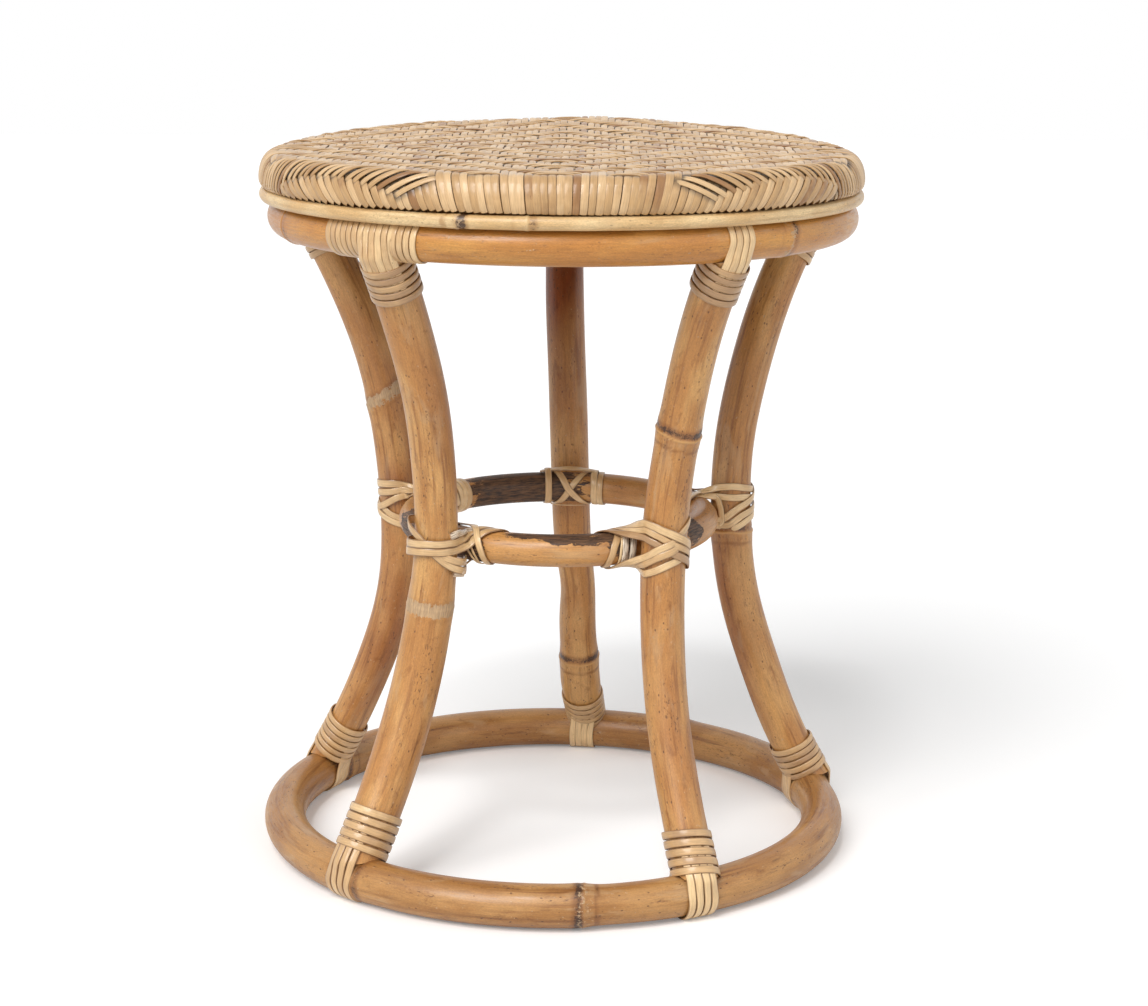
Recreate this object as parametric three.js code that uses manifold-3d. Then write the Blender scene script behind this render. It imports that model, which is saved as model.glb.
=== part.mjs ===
// A round rattan stool: three bent cane rings, five bowed legs, bound joints and a woven seat.
// Millimetres, +Z up. The origin is on the floor, at the middle of the base ring.
// +X is to the right and -Y to the front, as the stool is seen in its photograph.

import * as THREE from 'three';
import { mergeVertices } from 'three/addons/utils/BufferGeometryUtils.js';
import Module from 'manifold-3d';

const wasm = await Module();
wasm.setup();

// Clearances
const fit = 0.3;                 // between two pieces that touch
const overrun = 6;               // how far a cutting body runs past what it cuts
const floorCut = 0.5;            // depth of the flat under the foot straps

// Rings: radius of the centreline, and half of the cane's thickness
const baseRingRadius = 176.8;
const baseRingTube = 13.4;
const waistRingRadius = 92.8;
const waistRingTube = 10.2;
const waistRingHeight = 211.7;
const seatRingRadius = 173.1;
const seatRingTube = 12.1;
const seatRingHeight = 407.8;
const seatHoopInset = 0.5;       // how much nearer the stool's axis it lies than the seat ring
const seatHoopTube = 13.1;

// Trim cane: it lies in the groove between the seat ring and the weave
const trimTube = 4.3;
const trimSeatAngle = 49.5;      // degrees above level, seen from the seat ring's centre

// Legs
const legTube = 13;              // half of a leg's thickness, before its own share
const legInset = 3;              // how far a leg's end sits inside its ring's centreline
const legCope = 2.5;             // depth of the saddle-shaped cut at each end
const legTwist = 5.9;            // degrees that a leg leans sideways, from foot to top

// Seat
const weaveThickness = 2.5;
const shoulderWidthShare = 0.665; // width of the rounded edge, as a share of the wrapped hoop's
const shoulderDepthShare = 1.04;  // its depth, as a share of the same
const weaveCrown = 1.5;
const weaveRearLift = 6;         // how much higher the edge stands at the back
const supportTube = 6;           // half of a support cane's thickness
const supportSpacingShare = 0.52; // between the support canes, as a share of the hoop's radius

// Binding strips
const strapWidth = 4;
const strapThickness = 1.1;
const collarPitch = 4.75;        // from one turn of a collar to the next
const strapPitch = 4.9;          // between straps that run side by side over a ring
const lashingPitch = 5.7;        // between strips that run side by side at the waist
const layerGap = 0.7;            // between crossed strips
const strapSlack = 0.4;          // how much further a strip stays off a curved leg
const collarStandOff = 1;        // from the ring's strap to the collar's first turn
const saddleTuck = 15;           // how far the straps run along the leg, under the collar
const crossRise = 10;            // from the waist ring's level to the ends of a crossed pass
const crossPitch = 6.8;          // between crossed passes that lie side by side
const uprightReach = 1.2;        // from the leg's side to the upright strips on the waist ring

// Nails
const nailRadius = 1.2;
const endNailLength = 38;        // through a ring into the end of a leg
const nailSink = 0.6;            // how far a nail's end lies below the surface
const pinHeight = 250;           // of the nail that shows on the front left leg
const pinLength = 16;
const pinTurn = 25;              // degrees from the leg's outward side towards the front

// Faces and steps
const ringSides = 10;
const smallSides = 8;
const ringSteps = 48;
const legSides = 12;
const legSteps = 18;
const strapSteps = 10;           // steps in one turn of a strip round a ring
const collarSteps = 8;           // steps in one turn of a strip round a leg
const passSteps = 4;             // steps in one pass of a waist lashing
const nailSides = 6;
const edgeSteps = 6;             // steps round the quarter of the seat's edge

// One row for each leg. tubeShare multiplies legTube. The counts are strips and turns at its
// bindings. The waist strip crosses itself outside the leg or inside the ring. Where its passes
// over the leg are level, sagShare says how far they draw together on the leg's outside.
const legs = [
  { name: 'front_left', azimuth: 226.6, tubeShare: 1.14, topStraps: 6, footStraps: 4,
    topTurns: 4.5, footTurns: 5, crossing: 'inside', laps: 2, sagShare: 0.65 },
  { name: 'front_right', azimuth: 298.7, tubeShare: 1.03, topStraps: 4, footStraps: 4,
    topTurns: 4.5, footTurns: 5, crossing: 'outside', laps: 3, sagShare: 0 },
  { name: 'back_right', azimuth: 14.4, tubeShare: 1.01, topStraps: 3, footStraps: 3,
    topTurns: 3.5, footTurns: 4.5, crossing: 'outside', laps: 2, sagShare: 0 },
  { name: 'rear', azimuth: 83.1, tubeShare: 1, topStraps: 3, footStraps: 3,
    topTurns: 3.5, footTurns: 4.5, crossing: 'inside', laps: 2, sagShare: 0 },
  { name: 'back_left', azimuth: 153.9, tubeShare: 0.97, topStraps: 3, footStraps: 3,
    topTurns: 3.5, footTurns: 4.5, crossing: 'outside', laps: 2, sagShare: 0 },
];
const ringWraps = [
  { name: 'ring_wrap_left', leg: 'front_left', side: -1, turns: 3.5 },
  { name: 'ring_wrap_right', leg: 'front_left', side: 1, turns: 2.5 },
];

// Sizes that follow from those above
const strapRise = strapThickness * Math.cos(Math.PI / strapSteps);
const seatHoopRadius = seatRingRadius - seatHoopInset;
const seatHoopHeight = seatRingHeight + seatRingTube + fit + strapRise + fit + seatHoopTube;
const trimOffset = seatRingTube + fit + strapThickness + fit + trimTube;
const weaveUnderside = seatHoopHeight + seatHoopTube + fit;
const weaveRimHeight = weaveUnderside + weaveThickness;
const weaveRadius = seatHoopRadius + seatHoopTube + fit + weaveThickness;
const wrappedHoopTube = weaveRadius - seatHoopRadius;
const supportHeight = weaveUnderside - fit - supportTube;
const ringApothemShare = Math.cos(Math.PI / ringSides);
const legApothemShare = Math.cos(Math.PI / legSides);

const baseRing = {
  radius: baseRingRadius, tube: baseRingTube, height: baseRingTube + fit + strapRise - floorCut,
};
const waistRing = { radius: waistRingRadius, tube: waistRingTube, height: waistRingHeight };
const seatRing = { radius: seatRingRadius, tube: seatRingTube, height: seatRingHeight };
const seatHoop = { radius: seatHoopRadius, tube: seatHoopTube, height: seatHoopHeight };
const trimCane = {
  radius: seatRingRadius + trimOffset * Math.cos(radians(trimSeatAngle)),
  tube: trimTube,
  height: seatRingHeight + trimOffset * Math.sin(radians(trimSeatAngle)),
};
const legTopHeight = seatRing.height - seatRing.tube;
const legFootHeight = baseRing.height + baseRing.tube;

// Finishes
const finishes = {
  leg: { color: 0xc4935a, roughness: 0.45 },
  ring: { color: 0xc98f4e, roughness: 0.42 },
  seat: { color: 0xd8b684, roughness: 0.5 },
  trim: { color: 0xe2c692, roughness: 0.45 },
  binding: { color: 0xd6b888, roughness: 0.48 },
  support: { color: 0xbf9460, roughness: 0.55 },
  nail: { color: 0x77736c, roughness: 0.4, metalness: 0.85 },
};

const stool = new THREE.Group();

// Helpers

function radians(degrees) {
  return degrees * Math.PI / 180;
}

function addPiece(name, geometry, finish) {
  const piece = new THREE.Mesh(geometry, new THREE.MeshStandardMaterial({ metalness: 0, ...finish }));
  piece.name = name;
  stool.add(piece);
}

// The unit vectors out from the stool's axis and along its rings, at an azimuth
function outwardAt(azimuth) {
  return new THREE.Vector3(Math.cos(azimuth), Math.sin(azimuth), 0);
}

function alongAt(azimuth) {
  return new THREE.Vector3(-Math.sin(azimuth), Math.cos(azimuth), 0);
}

// The direction at an angle from one unit vector towards another
function between(from, to, angle) {
  return from.clone().multiplyScalar(Math.cos(angle)).addScaledVector(to, Math.sin(angle));
}

function polygon(radius, sides) {
  const corners = [];
  for (let i = 0; i < sides; i += 1) {
    const turn = 2 * Math.PI * i / sides;
    corners.push(new THREE.Vector2(radius * Math.cos(turn), radius * Math.sin(turn)));
  }
  return new THREE.Shape(corners);
}

// A lathe turns about Y, so its result is stood up to turn about Z
function turned(profile) {
  const geometry = new THREE.LatheGeometry(profile, ringSteps);
  geometry.rotateX(Math.PI / 2);
  return geometry;
}

// A ring of cane, thicker by grow where it is used as a cutter
function ringGeometry(ring, sides, grow = 0) {
  const tube = ring.tube + grow;
  const profile = [];
  for (let i = 0; i <= sides; i += 1) {
    const turn = 2 * Math.PI * (i + 0.5) / sides;
    profile.push(new THREE.Vector2(ring.radius + tube * Math.cos(turn), ring.height + tube * Math.sin(turn)));
  }
  return turned(profile);
}

// The middle of a ring's cane at an azimuth. The ring is a polygon with straight stretches, so
// between its corners the middle lies a little nearer to the stool's axis.
function ringCentre(ring, azimuth) {
  const stretch = 2 * Math.PI / ringSteps;
  const within = THREE.MathUtils.euclideanModulo(azimuth, stretch) - stretch / 2;
  const radius = ring.radius * Math.cos(stretch / 2) / Math.cos(within);
  return outwardAt(azimuth).multiplyScalar(radius).setZ(ring.height);
}

function toSolid(geometry) {
  const plain = geometry.clone();
  plain.deleteAttribute('normal');
  plain.deleteAttribute('uv');
  const merged = mergeVertices(plain);
  return new wasm.Manifold(new wasm.Mesh({
    numProp: 3,
    vertProperties: new Float32Array(merged.attributes.position.array),
    triVerts: new Uint32Array(merged.index.array),
  }));
}

function toGeometry(solid) {
  const mesh = solid.getMesh();
  const geometry = new THREE.BufferGeometry();
  geometry.setAttribute('position', new THREE.BufferAttribute(mesh.vertProperties, 3));
  geometry.setIndex(new THREE.BufferAttribute(mesh.triVerts, 1));
  geometry.computeVertexNormals();
  return geometry;
}

function subtractAll(geometry, cutters) {
  let solid = toSolid(geometry);
  for (const cutter of cutters) {
    solid = solid.subtract(toSolid(cutter));
  }
  return toGeometry(solid);
}

// A round bar between two points
function bar(from, to, radius, sides) {
  const direction = to.clone().sub(from);
  const geometry = new THREE.CylinderGeometry(radius, radius, direction.length(), sides);
  const turn = new THREE.Quaternion().setFromUnitVectors(
    new THREE.Vector3(0, 1, 0), direction.clone().normalize());
  geometry.applyQuaternion(turn);
  const middle = from.clone().add(to).divideScalar(2);
  geometry.translate(middle.x, middle.y, middle.z);
  return geometry;
}

// A level slab that cuts everything between two heights
function slab(from, to) {
  const width = 3 * baseRingRadius;
  const geometry = new THREE.BoxGeometry(width, width, to - from);
  geometry.translate(0, 0, (from + to) / 2);
  return geometry;
}

// Legs: each centreline bows inward to the waist ring and leans sideways as it rises. It is
// drawn past both ends, which are then cut level and to the shape of the ring.

class LegCurve extends THREE.Curve {
  constructor(leg) {
    super();
    this.tube = legTube * leg.tubeShare;
    this.azimuth = radians(leg.azimuth);
    this.waistRadius = waistRing.radius + waistRing.tube + fit + this.tube;
    this.cutLow = legFootHeight - legCope;
    this.cutHigh = legTopHeight + legCope;
    this.low = this.cutLow - this.tube;
    this.high = this.cutHigh + this.tube;
  }

  azimuthAt(height) {
    return this.azimuth + radians(legTwist) * (height - legFootHeight) / (legTopHeight - legFootHeight);
  }

  // The distance from the stool's axis grows as the square of the height from the waist
  radiusAt(height) {
    const above = height > waistRing.height;
    const endHeight = above ? legTopHeight : legFootHeight;
    const endRadius = (above ? seatRing.radius : baseRing.radius) - legInset;
    const share = (height - waistRing.height) / (endHeight - waistRing.height);
    return this.waistRadius + (endRadius - this.waistRadius) * share ** 2;
  }

  at(height) {
    return outwardAt(this.azimuthAt(height)).multiplyScalar(this.radiusAt(height)).setZ(height);
  }

  getPoint(share, target = new THREE.Vector3()) {
    return target.copy(this.at(this.low + (this.high - this.low) * share));
  }

  // The leg's axis, outward and sideways unit vectors at a height
  frameAt(height) {
    const axis = this.at(height + strapWidth).sub(this.at(height - strapWidth)).normalize();
    const side = alongAt(this.azimuthAt(height));
    side.addScaledVector(axis, -side.dot(axis)).normalize();
    const out = side.clone().cross(axis).normalize();
    return { centre: this.at(height), axis, out, side };
  }
}

// Straps: a flat strip follows points and keeps its broad face square to the given normals

class StrapPath extends THREE.Curve {
  constructor() {
    super();
    this.points = [];
    this.normals = [];
  }

  add(point, normal) {
    this.points.push(point);
    this.normals.push(normal);
  }

  getPoint(share, target = new THREE.Vector3()) {
    const place = share * (this.points.length - 1);
    const first = Math.min(Math.floor(place), this.points.length - 2);
    return target.lerpVectors(this.points[first], this.points[first + 1], place - first);
  }

  getSpacedPoints() {
    return this.points;
  }

  computeFrenetFrames() {
    const last = this.points.length - 1;
    const frames = { tangents: [], normals: [], binormals: [] };
    this.points.forEach((point, i) => {
      const before = point.clone().sub(this.points[Math.max(i - 1, 0)]).normalize();
      const after = this.points[Math.min(i + 1, last)].clone().sub(point).normalize();
      const tangent = before.add(after).normalize();
      const normal = this.normals[i].clone();
      normal.addScaledVector(tangent, -normal.dot(tangent)).normalize();
      frames.tangents.push(tangent);
      frames.normals.push(normal);
      frames.binormals.push(tangent.clone().cross(normal));
    });
    return frames;
  }

  // Where the strip would twist sharply, a step is added half way through the twist
  eased() {
    const path = new StrapPath();
    const sharpest = radians(50);
    this.points.forEach((point, i) => {
      path.add(point, this.normals[i]);
      if (i + 1 < this.points.length && this.normals[i].angleTo(this.normals[i + 1]) > sharpest) {
        path.add(point.clone().lerp(this.points[i + 1], 0.5),
          this.normals[i].clone().add(this.normals[i + 1]).normalize());
      }
    });
    return path;
  }

  // The least gap between stretches of the strip that are further apart along it than a U-turn
  // takes, measured between points spread over its outline
  leastGap() {
    const apart = 2.5 * strapWidth;
    const frames = this.computeFrenetFrames();
    const spots = [];
    const corner = (i, across, deep) => this.points[i].clone()
      .addScaledVector(frames.binormals[i], across * strapWidth / 2)
      .addScaledVector(frames.normals[i], deep * strapThickness / 2);
    let travelled = 0;
    for (let i = 0; i + 1 < this.points.length; i += 1) {
      const length = this.points[i].distanceTo(this.points[i + 1]);
      const pieces = Math.ceil(length / strapWidth * 2);
      for (let j = 0; j < pieces; j += 1) {
        for (const across of [-1, -0.5, 0, 0.5, 1]) {
          for (const deep of [-1, 1]) {
            spots.push({
              place: corner(i, across, deep).lerp(corner(i + 1, across, deep), j / pieces),
              along: travelled + length * j / pieces,
            });
          }
        }
      }
      travelled += length;
    }
    let least = Infinity;
    for (const a of spots) {
      for (const b of spots) {
        if (b.along - a.along > apart) {
          least = Math.min(least, a.place.distanceToSquared(b.place));
        }
      }
    }
    return Math.sqrt(least);
  }
}

const strapGaps = new Map();

function addStrap(name, path, cutters = []) {
  strapGaps.set(name, path.leastGap());
  const section = new THREE.Shape([
    new THREE.Vector2(-strapThickness / 2, -strapWidth / 2),
    new THREE.Vector2(strapThickness / 2, -strapWidth / 2),
    new THREE.Vector2(strapThickness / 2, strapWidth / 2),
    new THREE.Vector2(-strapThickness / 2, strapWidth / 2),
  ]);
  const geometry = new THREE.ExtrudeGeometry(section, {
    steps: path.points.length - 1, bevelEnabled: false, extrudePath: path,
  });
  addPiece(name, cutters.length > 0 ? subtractAll(geometry, cutters) : geometry, finishes.binding);
}

// How far a strip's middle lies from the axis of a pole that it goes round in steps of an
// angle, so that its flats clear the pole
function strapOrbit(tube, stepAngle) {
  return (tube + fit) / Math.cos(stepAngle / 2) + strapThickness / 2;
}

// Where a collar's first turn starts: beside the strap that leaves the ring
function collarStart(ring, direction) {
  const clear = fit + strapThickness + collarStandOff + strapWidth / 2;
  return ring.height - direction * (ring.tube + clear);
}

// Collar: a helix of strip round a leg, over the straps that are tucked along the leg.
// Direction is 1 at the seat ring, where the collar winds down, and -1 at the base ring.
function collarPath(curve, ring, turns, direction) {
  const tuckedOutside = Math.hypot(curve.tube + fit + strapSlack + strapThickness, strapWidth / 2);
  const stepAngle = 2 * Math.PI / collarSteps;
  const orbit = strapOrbit(tuckedOutside, stepAngle);
  const start = collarStart(ring, direction);
  const lean = curve.frameAt(start).axis.z;
  const path = new StrapPath();
  for (let i = 0; i <= Math.round(turns * collarSteps); i += 1) {
    const height = start - direction * lean * collarPitch * i / collarSteps;
    const { centre, out, side } = curve.frameAt(height);
    const normal = between(out, side, i * stepAngle);
    path.add(centre.addScaledVector(normal, orbit), normal);
  }
  return path;
}

// Saddle: one strip that runs up one face of a leg, over its ring, down the other face, turns
// back there and repeats, each run beside the last
function saddlePath(curve, ring, runs, direction) {
  const stepAngle = 2 * Math.PI / strapSteps;
  const ringOrbit = strapOrbit(ring.tube, stepAngle);
  const legOrbit = curve.tube + fit + strapSlack + strapThickness / 2;
  const start = collarStart(ring, direction);
  const farHeight = start - direction * saddleTuck * curve.frameAt(start).axis.z;
  const nearHeight = start + direction * (strapWidth / 2 + layerGap);
  const cut = direction > 0 ? curve.cutHigh : curve.cutLow;
  const ringAzimuth = curve.azimuthAt(direction > 0 ? legTopHeight : legFootHeight);
  const path = new StrapPath();
  const addOnLeg = (height, face, offset) => {
    const { centre, out, side } = curve.frameAt(height);
    const normal = between(out.multiplyScalar(face), side, offset / legOrbit);
    path.add(centre.addScaledVector(normal, legOrbit), normal);
  };
  // On the outer face, the strip leaves the leg at the level of the leg's cut end
  const leavingHeight = (offset) => {
    let height = cut;
    for (let i = 0; i < 4; i += 1) {
      const { out } = curve.frameAt(height);
      height = cut - legOrbit * Math.cos(offset / legOrbit) * out.z;
    }
    return height;
  };
  const legRun = (face, offset, leaves) => {
    const heights = [farHeight, nearHeight];
    if (face > 0) {
      heights.push(leavingHeight(offset));
    }
    if (!leaves) {
      heights.reverse();
    }
    heights.forEach((height) => addOnLeg(height, face, offset));
  };
  for (let run = 0; run < runs; run += 1) {
    const place = run - (runs - 1) / 2;
    const face = run % 2 === 0 ? 1 : -1;
    legRun(face, place * strapPitch, true);
    for (let i = 0; i <= strapSteps / 2; i += 1) {
      const turn = face > 0 ? i * stepAngle : Math.PI - i * stepAngle;
      const azimuth = ringAzimuth + place * strapPitch / ring.radius;
      const normal = between(outwardAt(azimuth), new THREE.Vector3(0, 0, direction), turn);
      path.add(ringCentre(ring, azimuth).addScaledVector(normal, ringOrbit), normal);
    }
    legRun(-face, place * strapPitch, false);
  }
  return path;
}

// Ring wrap: a helix of strip round the seat ring, beside a leg
function ringWrapPath(curve, side, turns) {
  const stepAngle = 2 * Math.PI / strapSteps;
  const orbit = strapOrbit(seatRing.tube, stepAngle);
  const start = curve.tube + fit + strapWidth / 2;
  const path = new StrapPath();
  for (let i = 0; i <= Math.round(turns * strapSteps); i += 1) {
    const offset = side * (start + strapPitch * i / strapSteps);
    const azimuth = curve.azimuthAt(legTopHeight) + offset / seatRing.radius;
    const normal = between(outwardAt(azimuth), new THREE.Vector3(0, 0, 1), i * stepAngle);
    path.add(ringCentre(seatRing, azimuth).addScaledVector(normal, orbit), normal);
  }
  return path;
}

// Waist lashing: one strip winds round the leg and the waist ring where they meet. A leg pass
// goes round the outside of the leg from side to side. A ring pass goes round the inside of the
// ring between its top and its underside. The crossed passes lie in two layers, and the last
// pass stops one step short.
function lashingPath(curve, leg) {
  const reach = radians(100);
  const stepAngle = 2 * reach / passSteps;
  const legOrbit = strapOrbit(curve.tube + strapSlack, stepAngle);
  const ringOrbit = strapOrbit(waistRing.tube + strapSlack, stepAngle);
  const layer = strapThickness + layerGap;
  const upright = curve.tube + uprightReach + strapWidth / 2;
  const level = waistRing.tube + fit + strapWidth / 2;
  const sag = level * leg.sagShare;
  const path = new StrapPath();
  const legPass = (side, from, to, sag, depth, steps = passSteps) => {
    for (let i = 0; i <= steps; i += 1) {
      const share = i / passSteps;
      const turn = side * reach * (2 * share - 1);
      const height = waistRing.height + from + (to - from) * share - sag * Math.cos(turn);
      const { centre, out, side: across } = curve.frameAt(height);
      const normal = between(out, across, turn);
      path.add(centre.addScaledVector(normal, legOrbit + depth), normal);
    }
  };
  const ringPass = (end, from, to, depth, steps = passSteps) => {
    for (let i = 0; i <= steps; i += 1) {
      const share = i / passSteps;
      const offset = from + (to - from) * share;
      const azimuth = curve.azimuthAt(waistRing.height) + offset / waistRing.radius;
      const turn = end * reach * (1 - 2 * share);
      const normal = between(outwardAt(azimuth).negate(), new THREE.Vector3(0, 0, 1), turn);
      path.add(ringCentre(waistRing, azimuth).addScaledVector(normal, ringOrbit + depth), normal);
    }
  };
  for (let lap = 0; lap < leg.laps; lap += 1) {
    const shift = (lap - (leg.laps - 1) / 2) * crossPitch;
    const near = lap * lashingPitch;
    const far = (leg.laps - 1 - lap) * lashingPitch;
    const lastSteps = lap < leg.laps - 1 ? passSteps : passSteps - 1;
    if (leg.crossing === 'outside') {
      legPass(1, shift - crossRise, shift + crossRise, 0, 0);
      ringPass(1, upright + near, upright + near, 0);
      legPass(-1, -shift - crossRise, -shift + crossRise, 0, layer);
      ringPass(1, -upright - far, -upright - far, 0, lastSteps);
    } else {
      ringPass(-1, shift - upright, shift + upright, 0);
      legPass(-1, level + near, level + near, sag, 0);
      ringPass(1, -shift - upright, -shift + upright, layer);
      legPass(-1, -level - far, -level - far, -sag, 0, lastSteps);
    }
  }
  return path.eased();
}

// Nails: one through each end of a leg into its ring, and one through each leg into the waist
// ring. Each lies in a hole that is wider than the nail by the usual clearance.

function nailLines(curve) {
  const surface = (ring, height, side) => ringCentre(ring, curve.azimuthAt(height))
    .add(new THREE.Vector3(0, 0, side * (ring.tube * ringApothemShare - nailSink)));
  const topStart = surface(seatRing, legTopHeight, 1);
  const footStart = surface(baseRing, legFootHeight, -1);
  const waistOut = outwardAt(curve.azimuthAt(waistRing.height));
  const waistStart = waistOut.clone().setLength(curve.waistRadius + curve.tube * legApothemShare - nailSink);
  const waistEnd = waistOut.clone().setLength(waistRing.radius - nailRadius);
  const towards = (start, aim) => start.clone().add(aim.sub(start).setLength(endNailLength));
  return {
    top: [topStart, towards(topStart, curve.at(seatRing.height - endNailLength))],
    foot: [footStart, towards(footStart, curve.at(baseRing.height + endNailLength))],
    waist: [waistStart.setZ(waistRing.height), waistEnd.setZ(waistRing.height)],
  };
}

// The nail that shows on the front left leg, above its waist lashing
function pinLine(curve) {
  const { centre, out, side } = curve.frameAt(pinHeight);
  const direction = between(out, side, radians(pinTurn));
  const start = centre.addScaledVector(direction, curve.tube * legApothemShare - nailSink);
  return [start, start.clone().addScaledVector(direction, -pinLength)];
}

function nailGeometry([start, end]) {
  return bar(start, end, nailRadius, nailSides);
}

function nailHole([start, end]) {
  const direction = end.clone().sub(start).normalize();
  const mouth = start.clone().addScaledVector(direction, -overrun);
  const bottom = end.clone().addScaledVector(direction, fit);
  return bar(mouth, bottom, nailRadius + fit, nailSides);
}

const curves = new Map(legs.map((leg) => [leg.name, new LegCurve(leg)]));
const nails = new Map(legs.map((leg) => [leg.name, nailLines(curves.get(leg.name))]));
const holesAt = (place) => legs.map((leg) => nailHole(nails.get(leg.name)[place]));
const pin = pinLine(curves.get('front_left'));

// Rings
addPiece('base_ring', subtractAll(ringGeometry(baseRing, ringSides), holesAt('foot')), finishes.ring);
addPiece('waist_ring', subtractAll(ringGeometry(waistRing, ringSides), holesAt('waist')), finishes.ring);
addPiece('seat_ring', subtractAll(ringGeometry(seatRing, ringSides), holesAt('top')), finishes.ring);
addPiece('seat_hoop', ringGeometry(seatHoop, smallSides), finishes.support);
addPiece('trim_cane', ringGeometry(trimCane, smallSides), finishes.trim);

// Legs
for (const leg of legs) {
  const curve = curves.get(leg.name);
  const lines = nails.get(leg.name);
  const pole = new THREE.ExtrudeGeometry(polygon(curve.tube, legSides), {
    steps: legSteps, bevelEnabled: false, extrudePath: curve,
  });
  const cutters = [
    slab(curve.low - overrun - curve.tube, curve.cutLow),
    slab(curve.cutHigh, curve.high + overrun + curve.tube),
    ringGeometry(baseRing, ringSides, fit),
    ringGeometry(seatRing, ringSides, fit),
    ...Object.values(lines).map(nailHole),
  ];
  if (leg.name === 'front_left') {
    cutters.push(nailHole(pin));
  }
  addPiece(`leg_${leg.name}`, subtractAll(pole, cutters), finishes.leg);
}

// Support canes: straight canes across the hoop, just under the weave, their ends cut to it
['front', 'middle', 'rear'].forEach((place, i) => {
  const y = (i - 1) * seatHoop.radius * supportSpacingShare;
  const half = Math.sqrt(seatHoop.radius ** 2 - (Math.abs(y) + supportTube) ** 2) - supportTube;
  const cane = bar(new THREE.Vector3(-half, y, supportHeight), new THREE.Vector3(half, y, supportHeight),
    supportTube, smallSides);
  addPiece(`support_cane_${place}`, subtractAll(cane, [ringGeometry(seatHoop, smallSides, fit)]),
    finishes.support);
});

// Woven seat: a crowned disc whose rounded edge wraps the hoop and ends above the trim cane
function wovenSeatGeometry() {
  const shoulderWidth = wrappedHoopTube * shoulderWidthShare;
  const shoulderDepth = wrappedHoopTube * shoulderDepthShare;
  const shoulderRadius = weaveRadius - shoulderWidth;
  const shoulderHeight = weaveRimHeight - shoulderDepth;
  const lipHeight = trimCane.height + trimCane.tube + fit;
  const lipAngle = Math.asin((seatHoop.height - lipHeight) / (seatHoop.tube + fit));
  const innerStep = (Math.PI / 2 + lipAngle) / edgeSteps;
  const inner = (seatHoop.tube + fit) / Math.cos(innerStep / 2);
  const profile = [new THREE.Vector2(0, weaveUnderside)];
  for (let i = 0; i <= edgeSteps; i += 1) {
    const turn = Math.PI / 2 - innerStep * i;
    profile.push(new THREE.Vector2(
      seatHoop.radius + inner * Math.cos(turn), seatHoop.height + inner * Math.sin(turn)));
  }
  profile.push(new THREE.Vector2(weaveRadius, profile[edgeSteps + 1].y));
  for (let i = 0; i <= edgeSteps; i += 1) {
    const turn = Math.PI / 2 * i / edgeSteps;
    profile.push(new THREE.Vector2(
      shoulderRadius + shoulderWidth * Math.cos(turn), shoulderHeight + shoulderDepth * Math.sin(turn)));
  }
  for (const share of [0.7, 0.35, 0]) {
    profile.push(new THREE.Vector2(shoulderRadius * share, weaveRimHeight + weaveCrown * (1 - share ** 2)));
  }
  const geometry = turned(profile);
  const places = geometry.attributes.position;
  for (let i = 0; i < places.count; i += 1) {
    const back = Math.max(0, places.getY(i) / weaveRadius);
    const height = places.getZ(i);
    const share = THREE.MathUtils.clamp((height - weaveUnderside) / (weaveRimHeight - weaveUnderside), 0, 1);
    places.setZ(i, height + weaveRearLift * share * back ** 2);
  }
  return geometry;
}
addPiece('woven_seat', wovenSeatGeometry(), finishes.seat);

// Bindings of each leg: straps over its two rings, a collar over the strap ends, and the waist
for (const leg of legs) {
  const curve = curves.get(leg.name);
  addStrap(`top_saddle_${leg.name}`, saddlePath(curve, seatRing, leg.topStraps, 1));
  addStrap(`top_collar_${leg.name}`, collarPath(curve, seatRing, leg.topTurns, 1));
  addStrap(`foot_saddle_${leg.name}`, saddlePath(curve, baseRing, leg.footStraps, -1), [slab(-overrun, 0)]);
  addStrap(`foot_collar_${leg.name}`, collarPath(curve, baseRing, leg.footTurns, -1));
  addStrap(`waist_lashing_${leg.name}`, lashingPath(curve, leg));
}
for (const wrap of ringWraps) {
  addStrap(wrap.name, ringWrapPath(curves.get(wrap.leg), wrap.side, wrap.turns));
}

// Nails
for (const leg of legs) {
  for (const [place, line] of Object.entries(nails.get(leg.name))) {
    addPiece(`nail_${place}_${leg.name}`, nailGeometry(line), finishes.nail);
  }
}
addPiece('pin_front_left', nailGeometry(pin), finishes.nail);

const [tightest, leastGap] = [...strapGaps].sort((a, b) => a[1] - b[1])[0];
console.log(`least gap of a wound strip to itself: ${leastGap.toFixed(2)} mm, in ${tightest}`);

export default stool;
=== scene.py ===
"""A round rattan stool: three bent cane rings, five bowed legs, bound joints and a woven seat.

Shapes are worked out in millimetres and written to their meshes in metres. The origin is on the
floor at the middle of the base ring, +Z is up, +X is to the right and -Y to the front.
"""

import math
from collections import namedtuple

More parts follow.
